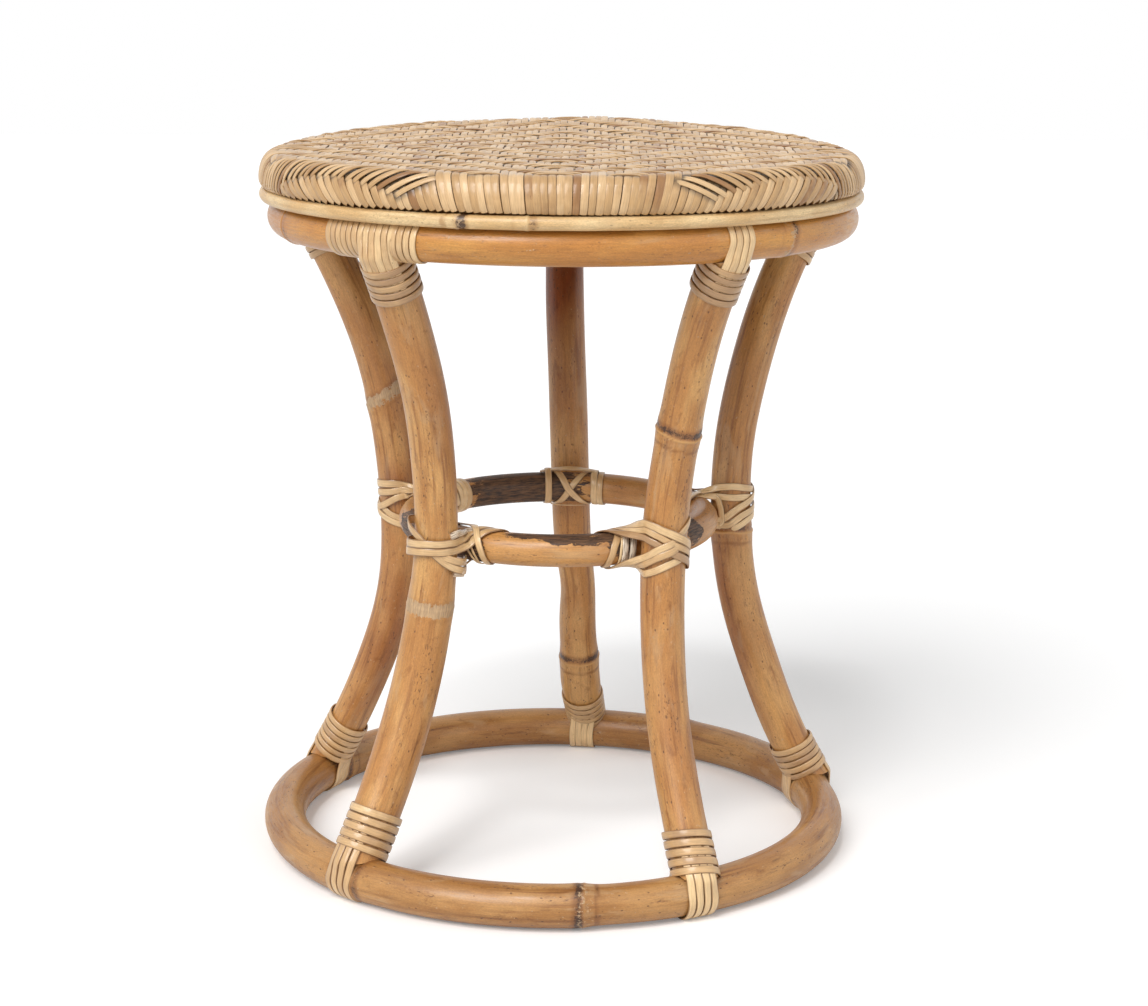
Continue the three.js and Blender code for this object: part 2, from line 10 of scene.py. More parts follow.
import bpy
import numpy as np
from mathutils import Matrix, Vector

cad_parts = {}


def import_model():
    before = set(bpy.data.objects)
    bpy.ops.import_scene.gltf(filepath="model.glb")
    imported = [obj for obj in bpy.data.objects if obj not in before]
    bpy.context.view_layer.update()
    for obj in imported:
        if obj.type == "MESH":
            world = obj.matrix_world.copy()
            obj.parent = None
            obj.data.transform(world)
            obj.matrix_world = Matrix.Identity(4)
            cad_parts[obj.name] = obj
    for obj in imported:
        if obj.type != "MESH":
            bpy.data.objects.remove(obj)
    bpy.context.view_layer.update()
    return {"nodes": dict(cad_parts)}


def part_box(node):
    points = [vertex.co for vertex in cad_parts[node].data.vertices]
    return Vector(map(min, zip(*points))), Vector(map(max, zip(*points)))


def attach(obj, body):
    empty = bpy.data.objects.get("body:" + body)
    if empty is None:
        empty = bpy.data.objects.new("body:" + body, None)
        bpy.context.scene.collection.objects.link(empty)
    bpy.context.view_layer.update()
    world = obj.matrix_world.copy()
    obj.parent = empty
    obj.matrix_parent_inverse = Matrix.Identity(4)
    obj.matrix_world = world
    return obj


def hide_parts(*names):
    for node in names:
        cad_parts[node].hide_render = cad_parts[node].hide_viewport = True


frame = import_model()

# Units and turns
METRES = 0.001
TURN = 2 * math.pi
UP = np.array([0.0, 0.0, 1.0])

# Legs
LEG_TWIST = math.radians(5.9)      # sideways lean, from foot to top
LEG_INSET = 3.0                    # how far a leg's end sits inside its ring's centreline
LEG_COPE = 0.8                     # depth of the cut that fits a leg's end to its ring
CORE_SHARES = (0.35, 0.7)          # of a leg's thickness: circles of points that close its ends
FIT = 0.3                          # between two pieces that touch

# Weave
WEAVE_PITCH = 4.65
WEAVE_ROWS = 37                    # strips on each side of the middle one, in both directions
LAST_DIAMOND = 59                  # past it the lengthwise strips stay on top
LATE_DIAMONDS = (56, 57)           # where the last floats of the crosswise strips are longer,
LATE_START = 18                    # but only further than this to the left and right
WEAVE_STRIP_THICKNESS = 0.9
WEAVE_RISE = 0.9                   # of a strip that passes over, and drop of one that passes under
WEAVE_DEPTH = 1.15                 # from the outside of the weave to the middle of its two layers
WEAVE_CROWN = 1.5                  # how much higher the seat's middle is than its edge
WEAVE_REAR_LIFT = 7.6              # how much higher the edge is at the back
WEAVE_EAST = 1.0                   # how far to the right the seat sits
WEAVE_SPREAD = 0.9                 # how much further out the strips lie than the plain solid
WEAVE_TURN = math.radians(1.13)    # turn of the flat weave before it is laid over the seat
WEAVE_SHIFT = -1.2                 # its shift sideways
SHOULDER_WIDTH = 10.6              # of the rounded edge, seen from above
SHOULDER_DEPTH = 16.5              # of the rounded edge, seen from the side
LIP_TUCK = 2.4                     # how far the weave draws in again below the rounded edge
LIP_HEIGHT = 0.6                   # of the strips' ends, above the plain solid's lowest point
CROSSWISE = (3.9, -0.2, 122, 25)   # width, its growth near the rim, and where that starts and how
LENGTHWISE = (4.0, 0.13, 135, 15)  # far it reaches

# Binding strips
STRIP_WIDTH = 4.15
STRIP_THICKNESS = 0.95
STRIP_PITCH = 4.2
STRIP_GAP = 0.12                   # between turns that lie side by side

# Canes
KNOT_FACE = math.radians(200)      # a knot's line leans down on this side, which faces forwards
CANE_LENGTH = 2000                 # each cane's markings start somewhere in a length like this

# Floor, backdrop and camera
FLOOR_GLOW = 0.16                  # makes the floor white for the camera alone
STUDIO_LIGHT = 0.42
IMAGE_WIDTH = 1148                 # pixels
FOCAL_PIXELS = 2533.8              # the lens's focal length in pixels of that image
CAMERA_PLACE = (-0.00099, -1.5973, 0.5760)
CAMERA_TURNS = (-0.391, 12.53, 0.382)  # yaw, downward pitch and roll in degrees


# Directions

def unit(vectors):
    """The vectors, each stretched to a length of one."""
    return vectors / np.linalg.norm(vectors, axis=-1, keepdims=True)


def outward(azimuth):
    """The level direction away from the stool's axis."""
    return np.stack([np.cos(azimuth), np.sin(azimuth), 0 * azimuth], axis=-1)


def between(first, second, angle):
    """The direction at an angle from the first one towards the second."""
    angle = np.asarray(angle)[..., None]
    return first * np.cos(angle) + second * np.sin(angle)


# Sizes that follow from the frame

def box_mm(node):
    """The lowest and highest corners of a CAD node, in millimetres."""
    return [np.array(corner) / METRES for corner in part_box(node)]


Ring = namedtuple("Ring", "radius tube height shift")
Leg = namedtuple("Leg", "name azimuth tube")


def ring_of(node, sides, shift=(0, 0)):
    """Centreline radius, half thickness and height of a ring, from the box of its faceted node.

    A shift moves its middle a little, as the hand-bent rings don't lie quite centrally."""
    low, high = box_mm(node)
    corners = (np.arange(sides) + 0.5) * TURN / sides
    tube = (high[2] - low[2]) / 2 / np.sin(corners).max()
    radius = (high[0] - low[0]) / 2 - tube * np.cos(corners).max()
    return Ring(radius, tube, (high[2] + low[2]) / 2, np.array([*shift, 0.0]))


BASE = ring_of("base_ring", 10, (-2.2, 0.6))
WAIST = ring_of("waist_ring", 10)
SEAT = ring_of("seat_ring", 10, (1.7, 0))
HOOP = ring_of("seat_hoop", 8, (1.5, 0))
TRIM = ring_of("trim_cane", 8, (1.0, 0))
LEG_TOP = SEAT.height - SEAT.tube
LEG_FOOT = BASE.height + BASE.tube
WEAVE_LOW, WEAVE_HIGH = box_mm("woven_seat")

LEGS = [
    Leg("front_left", math.radians(226.6), 14.8),
    Leg("front_right", math.radians(298.7), 13.4),
    Leg("back_right", math.radians(14.4), 13.1),
    Leg("rear", math.radians(83.1), 13.0),
    Leg("back_left", math.radians(153.9), 12.6),
]

# Where each leg strays from an even bow: height, spread, and how far sideways, outwards and thicker
LEG_BENDS = {
    "front_left": [(400, 40, 2.4, 0, -0.6), (312, 60, 3.6, 0, -1.1), (222, 46, 2.1, 0, -1.7),
                   (70, 80, -2.5, 0, 0.2)],
    "front_right": [(400, 45, -1.4, 0, 0), (290, 58, 3.6, 0, 0), (195, 70, 2.8, 0, 0.6)],
    "back_right": [(300, 50, -2, 1, 0.3), (200, 60, -3.5, 1.3, 0.4), (105, 52, -1.5, 3.4, 0.5)],
    "rear": [(330, 50, 1.2, 0, 0.3), (135, 24, -2.4, 0, -0.9), (55, 20, 1.2, 0, 0.9)],
    "back_left": [(320, 45, 0, -1.4, 0.2), (150, 55, -2.5, -2.3, 0.2)],
}


# Meshes

def grid_faces(rows, columns, closed):
    """Quads between neighbours of a grid whose columns join round, and whose rows may."""
    row = np.arange(rows if closed else rows - 1)[:, None] * columns
    next_row = (row + columns) % (rows * columns)
    column = np.arange(columns)[None, :]
    next_column = (column + 1) % columns
    corners = [row + column, row + next_column, next_row + next_column, next_row + column]
    return np.stack(corners, axis=-1).reshape(-1, 4)


def fan_faces(ring, middle, outwards):
    """Triangles from each side of a ring of points to a middle point."""
    ends = np.roll(ring, -1)
    sides = (ring, ends) if outwards else (ends, ring)
    return np.stack([*sides, np.full(len(ring), middle)], axis=-1)


def tube_parts(points, values, closed):
    """Vertices, values, quads and end triangles of one tube given as a grid of rows round it."""
    rows, columns = points.shape[:2]
    count = rows * columns
    numbers = {}
    for key, value in {"place": points, **values}.items():
        full = value if np.ndim(value) == 3 else np.broadcast_to(value, (rows, columns))
        number = full.reshape(count, -1)
        middles = [] if closed else [number[:columns].mean(axis=0), number[-columns:].mean(axis=0)]
        numbers[key] = np.vstack([number, *middles])
    quads = grid_faces(rows, columns, closed)
    if closed:
        return numbers.pop("place"), numbers, quads, np.zeros((0, 3), int)
    ring = np.arange(columns)
    ends = [fan_faces(ring, count, False), fan_faces(ring + count - columns, count + 1, True)]
    return numbers.pop("place"), numbers, quads, np.concatenate(ends)


def add_piece(name, tubes, material, slot, *nodes, sharp=50):
    """Makes one piece of the object from tubes, each a grid of points with values on them."""
    parts = [tube_parts(*tube) for tube in tubes]
    starts = np.cumsum([0] + [len(part[0]) for part in parts[:-1]])
    places = np.concatenate([part[0] for part in parts]) * METRES
    faces = [face for kind in (2, 3) for part, start in zip(parts, starts)
             for face in (part[kind] + start).tolist()]
    mesh = bpy.data.meshes.new(name)
    mesh.from_pydata(places, [], faces)
    mesh.shade_smooth()
    for key in parts[0][1]:
        number = np.concatenate([part[1][key] for part in parts]).astype(np.float32)
        kind, field = ("FLOAT_VECTOR", "vector") if number.shape[1] == 3 else ("FLOAT", "value")
        mesh.attributes.new(key, kind, "POINT").data.foreach_set(field, number.ravel())
    mesh.set_sharp_from_angle(angle=math.radians(sharp))
    mesh.materials.append(material)
    piece = bpy.data.objects.new(name, mesh)
    bpy.context.scene.collection.objects.link(piece)
    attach(piece, "root")
    if nodes:
        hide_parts(*nodes)


def seeded(name):
    """A random stream that is the same in each run, and differs from name to name."""
    return np.random.default_rng(sum((i + 1) * ord(letter) for i, letter in enumerate(name)))


def waver(along, length, stream, waves=(1, 2, 3, 5), size=1.0):
    """A slow wave along a length: a sum of a few whole waves with random phase and strength."""
    total = np.zeros_like(along, dtype=float)
    for count in waves:
        strength, phase = stream.uniform(0.4, 1.0), stream.uniform(0, TURN)
        total += strength / count ** 0.5 * np.sin(TURN * count * along / length + phase)
    return total * size / len(waves) ** 0.5


# Materials

class Shader:
    """Builds a material's nodes. Most methods add a node and return its output socket.

    A place, such as an attribute of the mesh, is what the noises and dots are spread over."""

    def __init__(self, name, place=None):
        self.material = bpy.data.materials.new(name)
        self.material.use_nodes = True
        self.tree = self.material.node_tree
        self.surface = self.tree.nodes["Principled BSDF"]
        self.place = place and self.attribute(place, "Vector")

    def link(self, target, value):
        """Joins a socket to an input, or sets the input to a plain value."""
        if isinstance(value, bpy.types.NodeSocket):
            self.tree.links.new(value, target)
        elif value is not None:
            target.default_value = value

    def fill(self, node, inputs):
        """Links a node's inputs by their names, in which a low line stands for a space."""
        for key, value in inputs.items():
            self.link(node.inputs[key.replace("_", " ")], value)
        return node

    def node(self, kind, settings=None, **inputs):
        """Adds a node of a kind, with its settings and inputs, and returns the node."""
        made = self.tree.nodes.new("ShaderNode" + kind)
        for key, value in (settings or {}).items():
            setattr(made, key, value)
        return self.fill(made, inputs)

    def dress(self, **inputs):
        """Sets the surface's inputs and returns the material."""
        self.fill(self.surface, inputs)
        return self.material

    def attribute(self, name, output="Fac"):
        """The value that a piece's mesh holds under a name."""
        return self.node("Attribute", {"attribute_name": name}).outputs[output]

    def stretched(self, along, across=1):
        """The place, with its numbers along and across the piece multiplied."""
        return self.node("Mapping", Vector=self.place, Scale=(along, across, 1)).outputs["Vector"]

    def noise(self, along, scale, detail, roughness, distortion=0.0, across=1):
        """Noise that is drawn out along the piece where its first number is small."""
        made = self.node("TexNoise", Vector=self.stretched(along, across), Scale=scale, Detail=detail,
                         Roughness=roughness, Distortion=distortion)
        return made.outputs["Fac"]

    def dots(self, along, scale):
        """Distance to the nearest of many scattered dots, and a random colour of each."""
        made = self.node("TexVoronoi", Vector=self.stretched(along), Scale=scale)
        return made.outputs["Distance"], made.outputs["Color"]

    def math(self, operation, *values):
        """The result of a sum on values or sockets."""
        made = self.node("Math", {"operation": operation})
        for socket, value in zip(made.inputs, values):
            self.link(socket, value)
        return made.outputs["Value"]

    def plus(self, first, second):
        """The first added to the second."""
        return self.math("ADD", first, second)

    def times(self, first, second):
        """The first multiplied by the second."""
        return self.math("MULTIPLY", first, second)

    def jitter(self, value, noise, strength, middle=0.5):
        """The value made higher or lower by a noise, as far as that is from its middle."""
        return self.plus(value, self.times(self.math("SUBTRACT", noise, middle), strength))

    def spread(self, value, low, high, new_low=0.0, new_high=1.0):
        """The value from low to high, carried over to a new range and held inside it."""
        ranges = {"From Min": low, "From Max": high, "To Min": new_low, "To Max": new_high}
        made = self.node("MapRange", {"interpolation_type": "SMOOTHSTEP"}, Value=value, **ranges)
        return made.outputs["Result"]

    def blend(self, share, first, second, how="MIX"):
        """The first colour, turned into the second as the share goes from 0 to 1."""
        made = self.node("Mix", {"data_type": "RGBA", "blend_type": how}, Factor=share)
        self.link(made.inputs[6], first)
        self.link(made.inputs[7], second)
        return made.outputs[2]

    def scaled(self, colour, value):
        """The colour made lighter or darker by a value."""
        made = self.node("VectorMath", {"operation": "SCALE"}, Scale=value)
        self.link(made.inputs[0], colour[:3] if isinstance(colour, tuple) else colour)
        return made.outputs["Vector"]

    def bump(self, height, distance, strength):
        """The surface's direction when it is raised by a height, times a distance in metres."""
        return self.node("Bump", Height=height, Distance=distance, Strength=strength).outputs["Normal"]


def rgb(red, green, blue):
    """A colour written as it looks on screen, from 0 to 255, turned into linear light."""
    share = np.array([red, green, blue]) / 255
    linear = np.where(share <= 0.04045, share / 12.92, ((share + 0.055) / 1.055) ** 2.4)
    return (*linear.tolist(), 1.0)


def cane_material(name, pale, middle, deep, speckle=0.6, streak=0.55, bark=False, gloss=0.4,
                  coat=0.2):
    """Peeled cane: blotches, streaks, fine grain, pores, brown or grey nodes, stains and patches of bark.

    Some of the stains are painted shade, and one bark patch paints a shadow.
    """
    shader = Shader(name, "cane")
    noise, spread, blend, scaled = shader.noise, shader.spread, shader.blend, shader.scaled
    plus, times = shader.plus, shader.times
    node = shader.attribute("node")
    dark = rgb(72, 38, 18)

    # Blotches, streaks that come in groups, grain, and stains, some of which are painted shade
    band = noise(0.05, 0.3, 3, 0.6)
    grain = noise(0.12, 1.1, 3, 0.6)
    group = spread(noise(0.3, 0.06, 2, 0.5), 0.42, 0.6, 0.25, 1)
    colour = blend(spread(noise(0.35, 0.05, 3, 0.5), 0.38, 0.62), pale, middle)
    colour = blend(times(spread(band, 0.48, 0.7, 0, streak), group), colour, deep)
    colour = scaled(colour, spread(grain, 0.3, 0.7, 0.9, 1.07))
    colour = scaled(colour, spread(noise(0.5, 1.5, 2, 0.6), 0.3, 0.7, 0.9, 1.08))
    colour = blend(spread(noise(0.45, 0.15, 5, 0.7, 0.4), 0.56, 0.68, 0, 0.75 * speckle), colour, deep)
    ashen = spread(noise(0.3, 0.07, 4, 0.6, 0.6), 0.56, 0.68, 0, 0.35)
    colour = blend(ashen, colour, rgb(190, 158, 118))
    # Brown stains, partly painted shade: the bands at the rear leg's top paint the seat's shadow
    colour = blend(shader.attribute("stain"), colour, rgb(176, 122, 84), "MULTIPLY")

    # Short dashes in rows, pores and scorched lines
    row = spread(noise(0.1, 0.16, 2, 0.5), 0.52, 0.62)
    dashes = times(spread(noise(0.35, 0.95, 2, 0.5), 0.6, 0.66), row)
    colour = blend(times(dashes, speckle), colour, dark)
    distance, random = shader.dots(0.6, 0.3)
    chosen = spread(shader.node("SeparateColor", Color=random).outputs["Red"], 0.62, 0.66)
    pores = times(spread(distance, 0.17, 0.1), chosen)
    colour = blend(times(pores, 1.2 * speckle), colour, dark)
    colour = blend(spread(noise(0.08, 0.26, 5, 0.65), 0.62, 0.74, 0, 0.9 * speckle), colour, dark)

    # Nodes: charring, a pale lip and a grey scar of torn fibres
    charred = shader.jitter(node, noise(0.7, 0.55, 5, 0.85), 2.1)
    colour = blend(spread(node, 0.05, 0.5, 0, 0.6), colour, deep)
    colour = blend(spread(charred, 0.48, 0.9, 0, 0.95), colour, rgb(60, 35, 19))
    colour = blend(shader.attribute("lip"), colour, pale)
    scar = shader.jitter(shader.attribute("scar"), noise(0.8, 0.4, 5, 0.75), 3.0)
    fibrous = spread(scar, 0.4, 0.55)
    fibres = scaled(rgb(186, 156, 120), spread(grain, 0.3, 0.7, 0.72, 1.15))
    colour = blend(times(fibrous, 0.9), colour, fibres)
    height = plus(times(grain, 0.4), times(band, 0.5))
    height = shader.math("SUBTRACT", height, times(plus(pores, dashes), 0.5))
    roughness = spread(grain, 0.3, 0.7, gloss - 0.06, gloss + 0.14)
    roughness = plus(roughness, times(fibrous, 0.3))

    # Bark that was left on, torn at its edges, and one patch of it that paints a shadow
    if bark:
        edge = shader.jitter(shader.attribute("bark"), noise(0.4, 0.2, 5, 0.65), 3.4, 0.56)
        share = spread(edge, -0.05, 0.07)
        skin = noise(0.12, 0.9, 5, 0.7)
        brown = blend(spread(skin, 0.36, 0.66), rgb(44, 28, 16), rgb(110, 76, 48))
        colour = blend(share, colour, brown)
        height = plus(height, times(share, plus(skin, 1.4)))
        roughness = plus(roughness, times(share, 0.28))
    return shader.dress(Base_Color=colour, Roughness=roughness, Normal=shader.bump(height, 0.00025, 0.7),
                        Coat_Weight=coat, Coat_Roughness=0.2)


def strip_material(name, pale, middle, deep, coat=0.45):
    """Split cane strip: its own tone, fine fibres along it, darker edges, and grey where it is frayed.

    The darker edges paint the shade between strips, and a woven strip gets painted shade where it dips
    under another.
    """
    shader = Shader(name, "strip")
    noise, spread, blend, scaled = shader.noise, shader.spread, shader.blend, shader.scaled
    tint = shader.attribute("tint")
    fibre = noise(0.05, 2.2, 3, 0.6)
    tone = shader.jitter(tint, noise(0.6, 0.06, 4, 0.6, across=0.3), 1.5)
    colour = blend(spread(tone, 0.1, 0.6), pale, middle)
    colour = blend(spread(tone, 0.62, 1.05), colour, deep)
    colour = scaled(colour, spread(fibre, 0.32, 0.68, 0.84, 1.08))
    across = shader.node("SeparateXYZ", Vector=shader.place).outputs["Y"]
    # Painted shade: the strip darkens towards both edges, like the gaps between neighbouring strips
    edge = spread(shader.math("ABSOLUTE", across), 1.7, 2.3, 0, 0.7)
    colour = blend(edge, colour, rgb(112, 70, 36))
    flecks = spread(noise(0.3, 0.7, 4, 0.7), 0.64, 0.74, 0, 0.6)
    colour = blend(flecks, colour, rgb(104, 68, 38))
    # Painted shade: a woven strip darkens where it dips under the strips that cross it
    colour = scaled(colour, spread(shader.attribute("sunk"), 0.1, 0.7, 1.0, 0.22))
    ashes = blend(spread(fibre, 0.36, 0.52), rgb(120, 96, 74), rgb(228, 210, 186))
    colour = blend(spread(tint, 1.5, 1.8), colour, ashes)
    return shader.dress(Base_Color=colour, Roughness=spread(fibre, 0.3, 0.7, 0.29, 0.48),
                        Normal=shader.bump(fibre, 0.0002, 0.6), Coat_Weight=coat, Coat_Roughness=0.1)


def nail_material():
    """Dull wire nail: dark steel with a little rust."""
    shader = Shader("wire_nail")
    shader.place = shader.node("TexCoord").outputs["Object"]
    rust = shader.noise(1, 900, 4, 0.6)
    colour = shader.blend(shader.spread(rust, 0.45, 0.7), rgb(78, 72, 66), rgb(92, 58, 36))
    return shader.dress(Base_Color=colour, Metallic=0.85, Roughness=shader.spread(rust, 0.3, 0.7, 0.4, 0.7))


# Poles

def stations_along(length, knots, step=2.4, fine=0.5, reach=6.0):
    """Places along a cane, close together near its knots and further apart elsewhere."""
    plain = np.arange(0, length, step)
    near = [np.arange(knot - reach, knot + reach, fine) for knot in knots]
    for knot in knots:
        plain = plain[np.abs(plain - knot) > reach]
    places = np.unique(np.concatenate([plain, *near]))
    return places[(places >= 0) & (places < length - 0.2)]


Knot = namedtuple("Knot", "place tilt swell ridge dark scar growth sense", defaults=(0, 0, 1))
Stain = namedtuple("Stain", "place spread angle reach strength")


def knot_shape(along, around, knots, stream):
    """Growth of the radius, charring, grey scar and pale lip at the knots of a cane.

    Each is a bell curve of the distance from the knot, whose line tilts once round the cane. A
    swelling carries the lip, with charring above it and a thin charred line below. The cane may be
    thicker below the knot than above it."""
    grow = np.zeros(np.broadcast(along, around).shape)
    marks = {key: np.zeros_like(grow) for key in ("node", "scar", "lip")}
    for knot in knots:
        first, second, third, fourth = stream.uniform(0, TURN, 4)
        ragged = 0.35 * np.sin(3 * around + first) + 0.15 * np.sin(7 * around + second)
        lean = knot.tilt * np.cos(around - KNOT_FACE)
        away = knot.sense * (along - knot.place - lean - ragged)
        patchy = 0.85 + 0.25 * np.sin(around + third) * np.sin(3 * around + fourth)
        below = np.exp(-(away / 90) ** 2) / (1 + np.exp(np.clip(away / 2.5, -30, 30)))
        grow += knot.swell * np.exp(-(away / 8) ** 2) + knot.ridge * np.exp(-(away / 0.9) ** 2)
        grow += knot.growth * below - 0.5 * knot.ridge * np.exp(-((away - 1.9) / 1.2) ** 2)
        charring = np.exp(-((away - 3.4) / 3.2) ** 2) + 0.6 * np.exp(-((away + 7) / 1.4) ** 2)
        marks["node"] += knot.dark * patchy * charring
        marks["scar"] += knot.scar * np.exp(-(away / 4.6) ** 4)
        marks["lip"] += np.clip(knot.ridge * 1.6, 0, 0.9) * np.exp(-(away / 0.8) ** 2)
    return grow, {key: np.clip(mark, 0, 1) for key, mark in marks.items()}


def stain_and_shade_value(along, around, stains_and_shade):
    """Brown stains and painted shade: bell curves along the cane and round it."""
    total = np.zeros(np.broadcast(along, around).shape)
    for stain in stains_and_shade:
        turn = (around - math.radians(stain.angle) + math.pi) % TURN - math.pi
        off = (along - stain.place) / stain.spread
        total += stain.strength * np.exp(-off ** 2 - (turn / stain.reach) ** 2)
    return np.clip(total, 0, 1)


def cane_values(along, around, tube, marks, stream):
    """The values that a cane's material reads: place along and in the section, and marks at knots."""
    along, around = np.broadcast_arrays(along, around)
    start = CANE_LENGTH * stream.random()
    section = [along + start, tube * np.cos(around), tube * np.sin(around)]
    return {"cane": np.stack(section, axis=-1), **marks}


def bark_and_shade_value(along, around, patches, length):
    """Nearness to the bark patches: 1 in the middle of one, 0 at its edge, and less outside.

    One patch on the waist ring is a painted shadow, drawn as bark.
    """
    near = np.full(np.broadcast(along, around).shape, -1.0)
    for place, half_length, angle, half_angle in patches:
        off = (along - place + length / 2) % length - length / 2
        turn = (around - math.radians(angle) + math.pi) % TURN - math.pi
        near = np.maximum(near, 1 - (off / half_length) ** 2 - (turn / math.radians(half_angle)) ** 2)
    return np.clip(near, -1, 1)


def ring_piece(name, ring, material, slot, knots=(), patches=(), stains_and_shade=(), seam=83.1, sides=40):
    """A cane bent into a ring: round sections carried round a circle.

    The section's angle is 0 outwards, a quarter turn downwards, and a half turn inwards."""
    stream = seeded(name)
    length = TURN * ring.radius
    along = stations_along(length, [knot.place for knot in knots])[:, None]
    around = (np.arange(sides) * TURN / sides)[None, :]
    grow, marks = knot_shape(along, around, knots, stream)
    tube = ring.tube - 0.15 + waver(along, length, stream, size=0.14) + grow
    azimuth = math.radians(seam) + along / ring.radius
    wave = waver(along, length, stream, size=0.3)
    radius = ring.radius + wave + tube * np.cos(around)
    points = ring.shift + np.stack([radius * np.cos(azimuth), radius * np.sin(azimuth),
                                    ring.height - tube * np.sin(around) + 0 * azimuth], axis=-1)
    points[..., 2] = np.maximum(points[..., 2], 0)
    marks["stain"] = stain_and_shade_value(along, around, stains_and_shade)
    values = cane_values(along, around, ring.tube, marks, stream)
    if patches:
        values["bark"] = bark_and_shade_value(along, around, patches, length)
    add_piece(name, [(points, values, True)], material, slot, name)


def leg_bend(leg, height):
    """How far a leg strays sideways, outwards and in thickness at a height: a sum of bell curves."""
    centre, spread, *shifts = np.array(LEG_BENDS[leg.name], float).T
    bells = np.exp(-((np.asarray(height, float)[..., None] - centre) / spread) ** 2)
    return [bells @ shift for shift in shifts]


def leg_radius(leg, height):
    """How far a leg's centreline is from the axis: it grows as the square of the height from the waist."""
    above = height > WAIST.height
    end_height = np.where(above, LEG_TOP, LEG_FOOT)
    end_radius = np.where(above, SEAT.radius, BASE.radius) - LEG_INSET
    waist_radius = WAIST.radius + WAIST.tube + FIT + leg.tube
    share = (height - WAIST.height) / (end_height - WAIST.height)
    return waist_radius + (end_radius - waist_radius) * share ** 2 + leg_bend(leg, height)[1]


def leg_azimuth(leg, height):
    """A leg's direction from the axis: it turns evenly with the height, but for its sideways bends."""
    even = leg.azimuth + LEG_TWIST * (height - LEG_FOOT) / (LEG_TOP - LEG_FOOT)
    return even + leg_bend(leg, height)[0] / leg_radius(leg, height)


def leg_tube(leg, height):
    """A leg's half thickness at a height."""
    return leg.tube + leg_bend(leg, height)[2]


def leg_centre(leg, height):
    """The point of a leg's centreline at a height."""
    return leg_radius(leg, height)[..., None] * outward(leg_azimuth(leg, height)) + height[..., None] * UP


def leg_frame(leg, height):
    """The centre of a leg at a height, and its unit vectors along it, outwards and sideways."""
    height = np.asarray(height, float)
    centre = leg_centre(leg, height)
    axis = unit(leg_centre(leg, height + 2) - leg_centre(leg, height - 2))
    azimuth = leg_azimuth(leg, height)
    side = np.stack([-np.sin(azimuth), np.cos(azimuth), 0 * azimuth], axis=-1)
    side = unit(side - axis * np.sum(side * axis, axis=-1, keepdims=True))
    return centre, axis, np.cross(side, axis), side


def end_height(leg, ring, direction, offset):
    """The height at which a line along a leg, at an offset from its centre in the out and side
    directions, meets the leg's end: a level cut, hollowed out by the ring."""
    cut = (LEG_TOP if direction > 0 else LEG_FOOT) + direction * LEG_COPE
    heights = cut + direction * np.linspace(-26, 14, 400)
    centre, _, out, side = leg_frame(leg, heights)
    line = centre[:, None, :] + offset[None, :, :1] * out[:, None] + offset[None, :, 1:] * side[:, None]
    across = np.linalg.norm((line - ring.shift)[..., :2], axis=-1) - ring.radius
    clear = np.hypot(across, line[..., 2] - ring.height) - ring.tube - FIT
    inside = (clear < 0) | (direction * (line[..., 2] - cut) > 0)
    return heights[np.argmax(inside, axis=0)]


def straight_piece(name, material):
    """A straight cane along X, in the place of its node, with rounded ends."""
    low, high = box_mm(name)
    middle = (low + high) / 2
    tube = (high[2] - low[2]) / 2
    tip = np.linspace(0, 0.06, 8)
    share = np.concatenate([tip ** 1.5, np.linspace(0.06, 0.94, 90), 1 - tip ** 1.5])
    share = np.unique(share)[:, None]
    stream = seeded(name)
    around = (np.arange(24) * TURN / 24)[None, :]
    along = low[0] + (high[0] - low[0]) * share
    end = np.clip(np.minimum(share, 1 - share) / 0.012, 0.02, 1)
    radius = tube * np.sqrt(1 - (1 - end) ** 2) + waver(share, 1, stream, size=0.08) * end - 0.1 * end
    points = np.stack([along + 0 * around, middle[1] + radius * np.cos(around),
                       middle[2] + radius * np.sin(around)], axis=-1)
    values = cane_values(along, around, tube, {}, stream)
    add_piece(name, [(points, values, False)], material, "support_cane", name)


def leg_piece(leg, material, knots, stains_and_shade, sides=40):
    """A leg: round sections along its bowed centreline, with ends that fit under and over the rings."""
    stream = seeded(leg.name)
    around = np.arange(sides) * TURN / sides
    circle = np.stack([np.cos(around), np.sin(around)], axis=-1)
    length = LEG_TOP - LEG_FOOT
    near_knots = [(knot.place + np.arange(-6, 6, 0.5)) / length for knot in knots]
    share = np.concatenate([np.linspace(0, 1, 190), *near_knots])
    share = np.unique(np.clip(share, 0, 1))[:, None]
    slow = waver(share, 1, stream, size=0.25)
    low, high = [[end_height(leg, ring, direction, size * leg.tube * circle) for size in (*CORE_SHARES, 1)]
                 for direction, ring in ((-1, BASE), (1, SEAT))]
    height = low[-1] + (high[-1] - low[-1]) * share
    around = around[None, :]
    grow, marks = knot_shape(height - LEG_FOOT, around, knots, stream)
    marks["stain"] = stain_and_shade_value(height, around, stains_and_shade)
    oval = 0.2 * np.cos(2 * around + stream.uniform(0, TURN))
    fade = np.clip(np.minimum(share, 1 - share) * 12, 0, 1)
    tube = leg_tube(leg, height) - 0.1 + (slow + oval + grow) * fade
    cores = [np.full((1, sides), size * leg.tube) for size in CORE_SHARES]
    tubes = np.concatenate([*cores, tube, *cores[::-1]])[..., None]
    heights = np.concatenate([low[:-1], height, high[-2::-1]])
    marks = {key: np.pad(mark, ((2, 2), (0, 0)), mode="edge") for key, mark in marks.items()}
    centre, _, out, side = leg_frame(leg, heights)
    points = centre + tubes * (circle[:, :1] * out + circle[:, 1:] * side)
    values = cane_values(heights, around, leg.tube, marks, stream)
    add_piece("leg_" + leg.name, [(points, values, False)], material, "leg_cane", "leg_" + leg.name)


# Weave

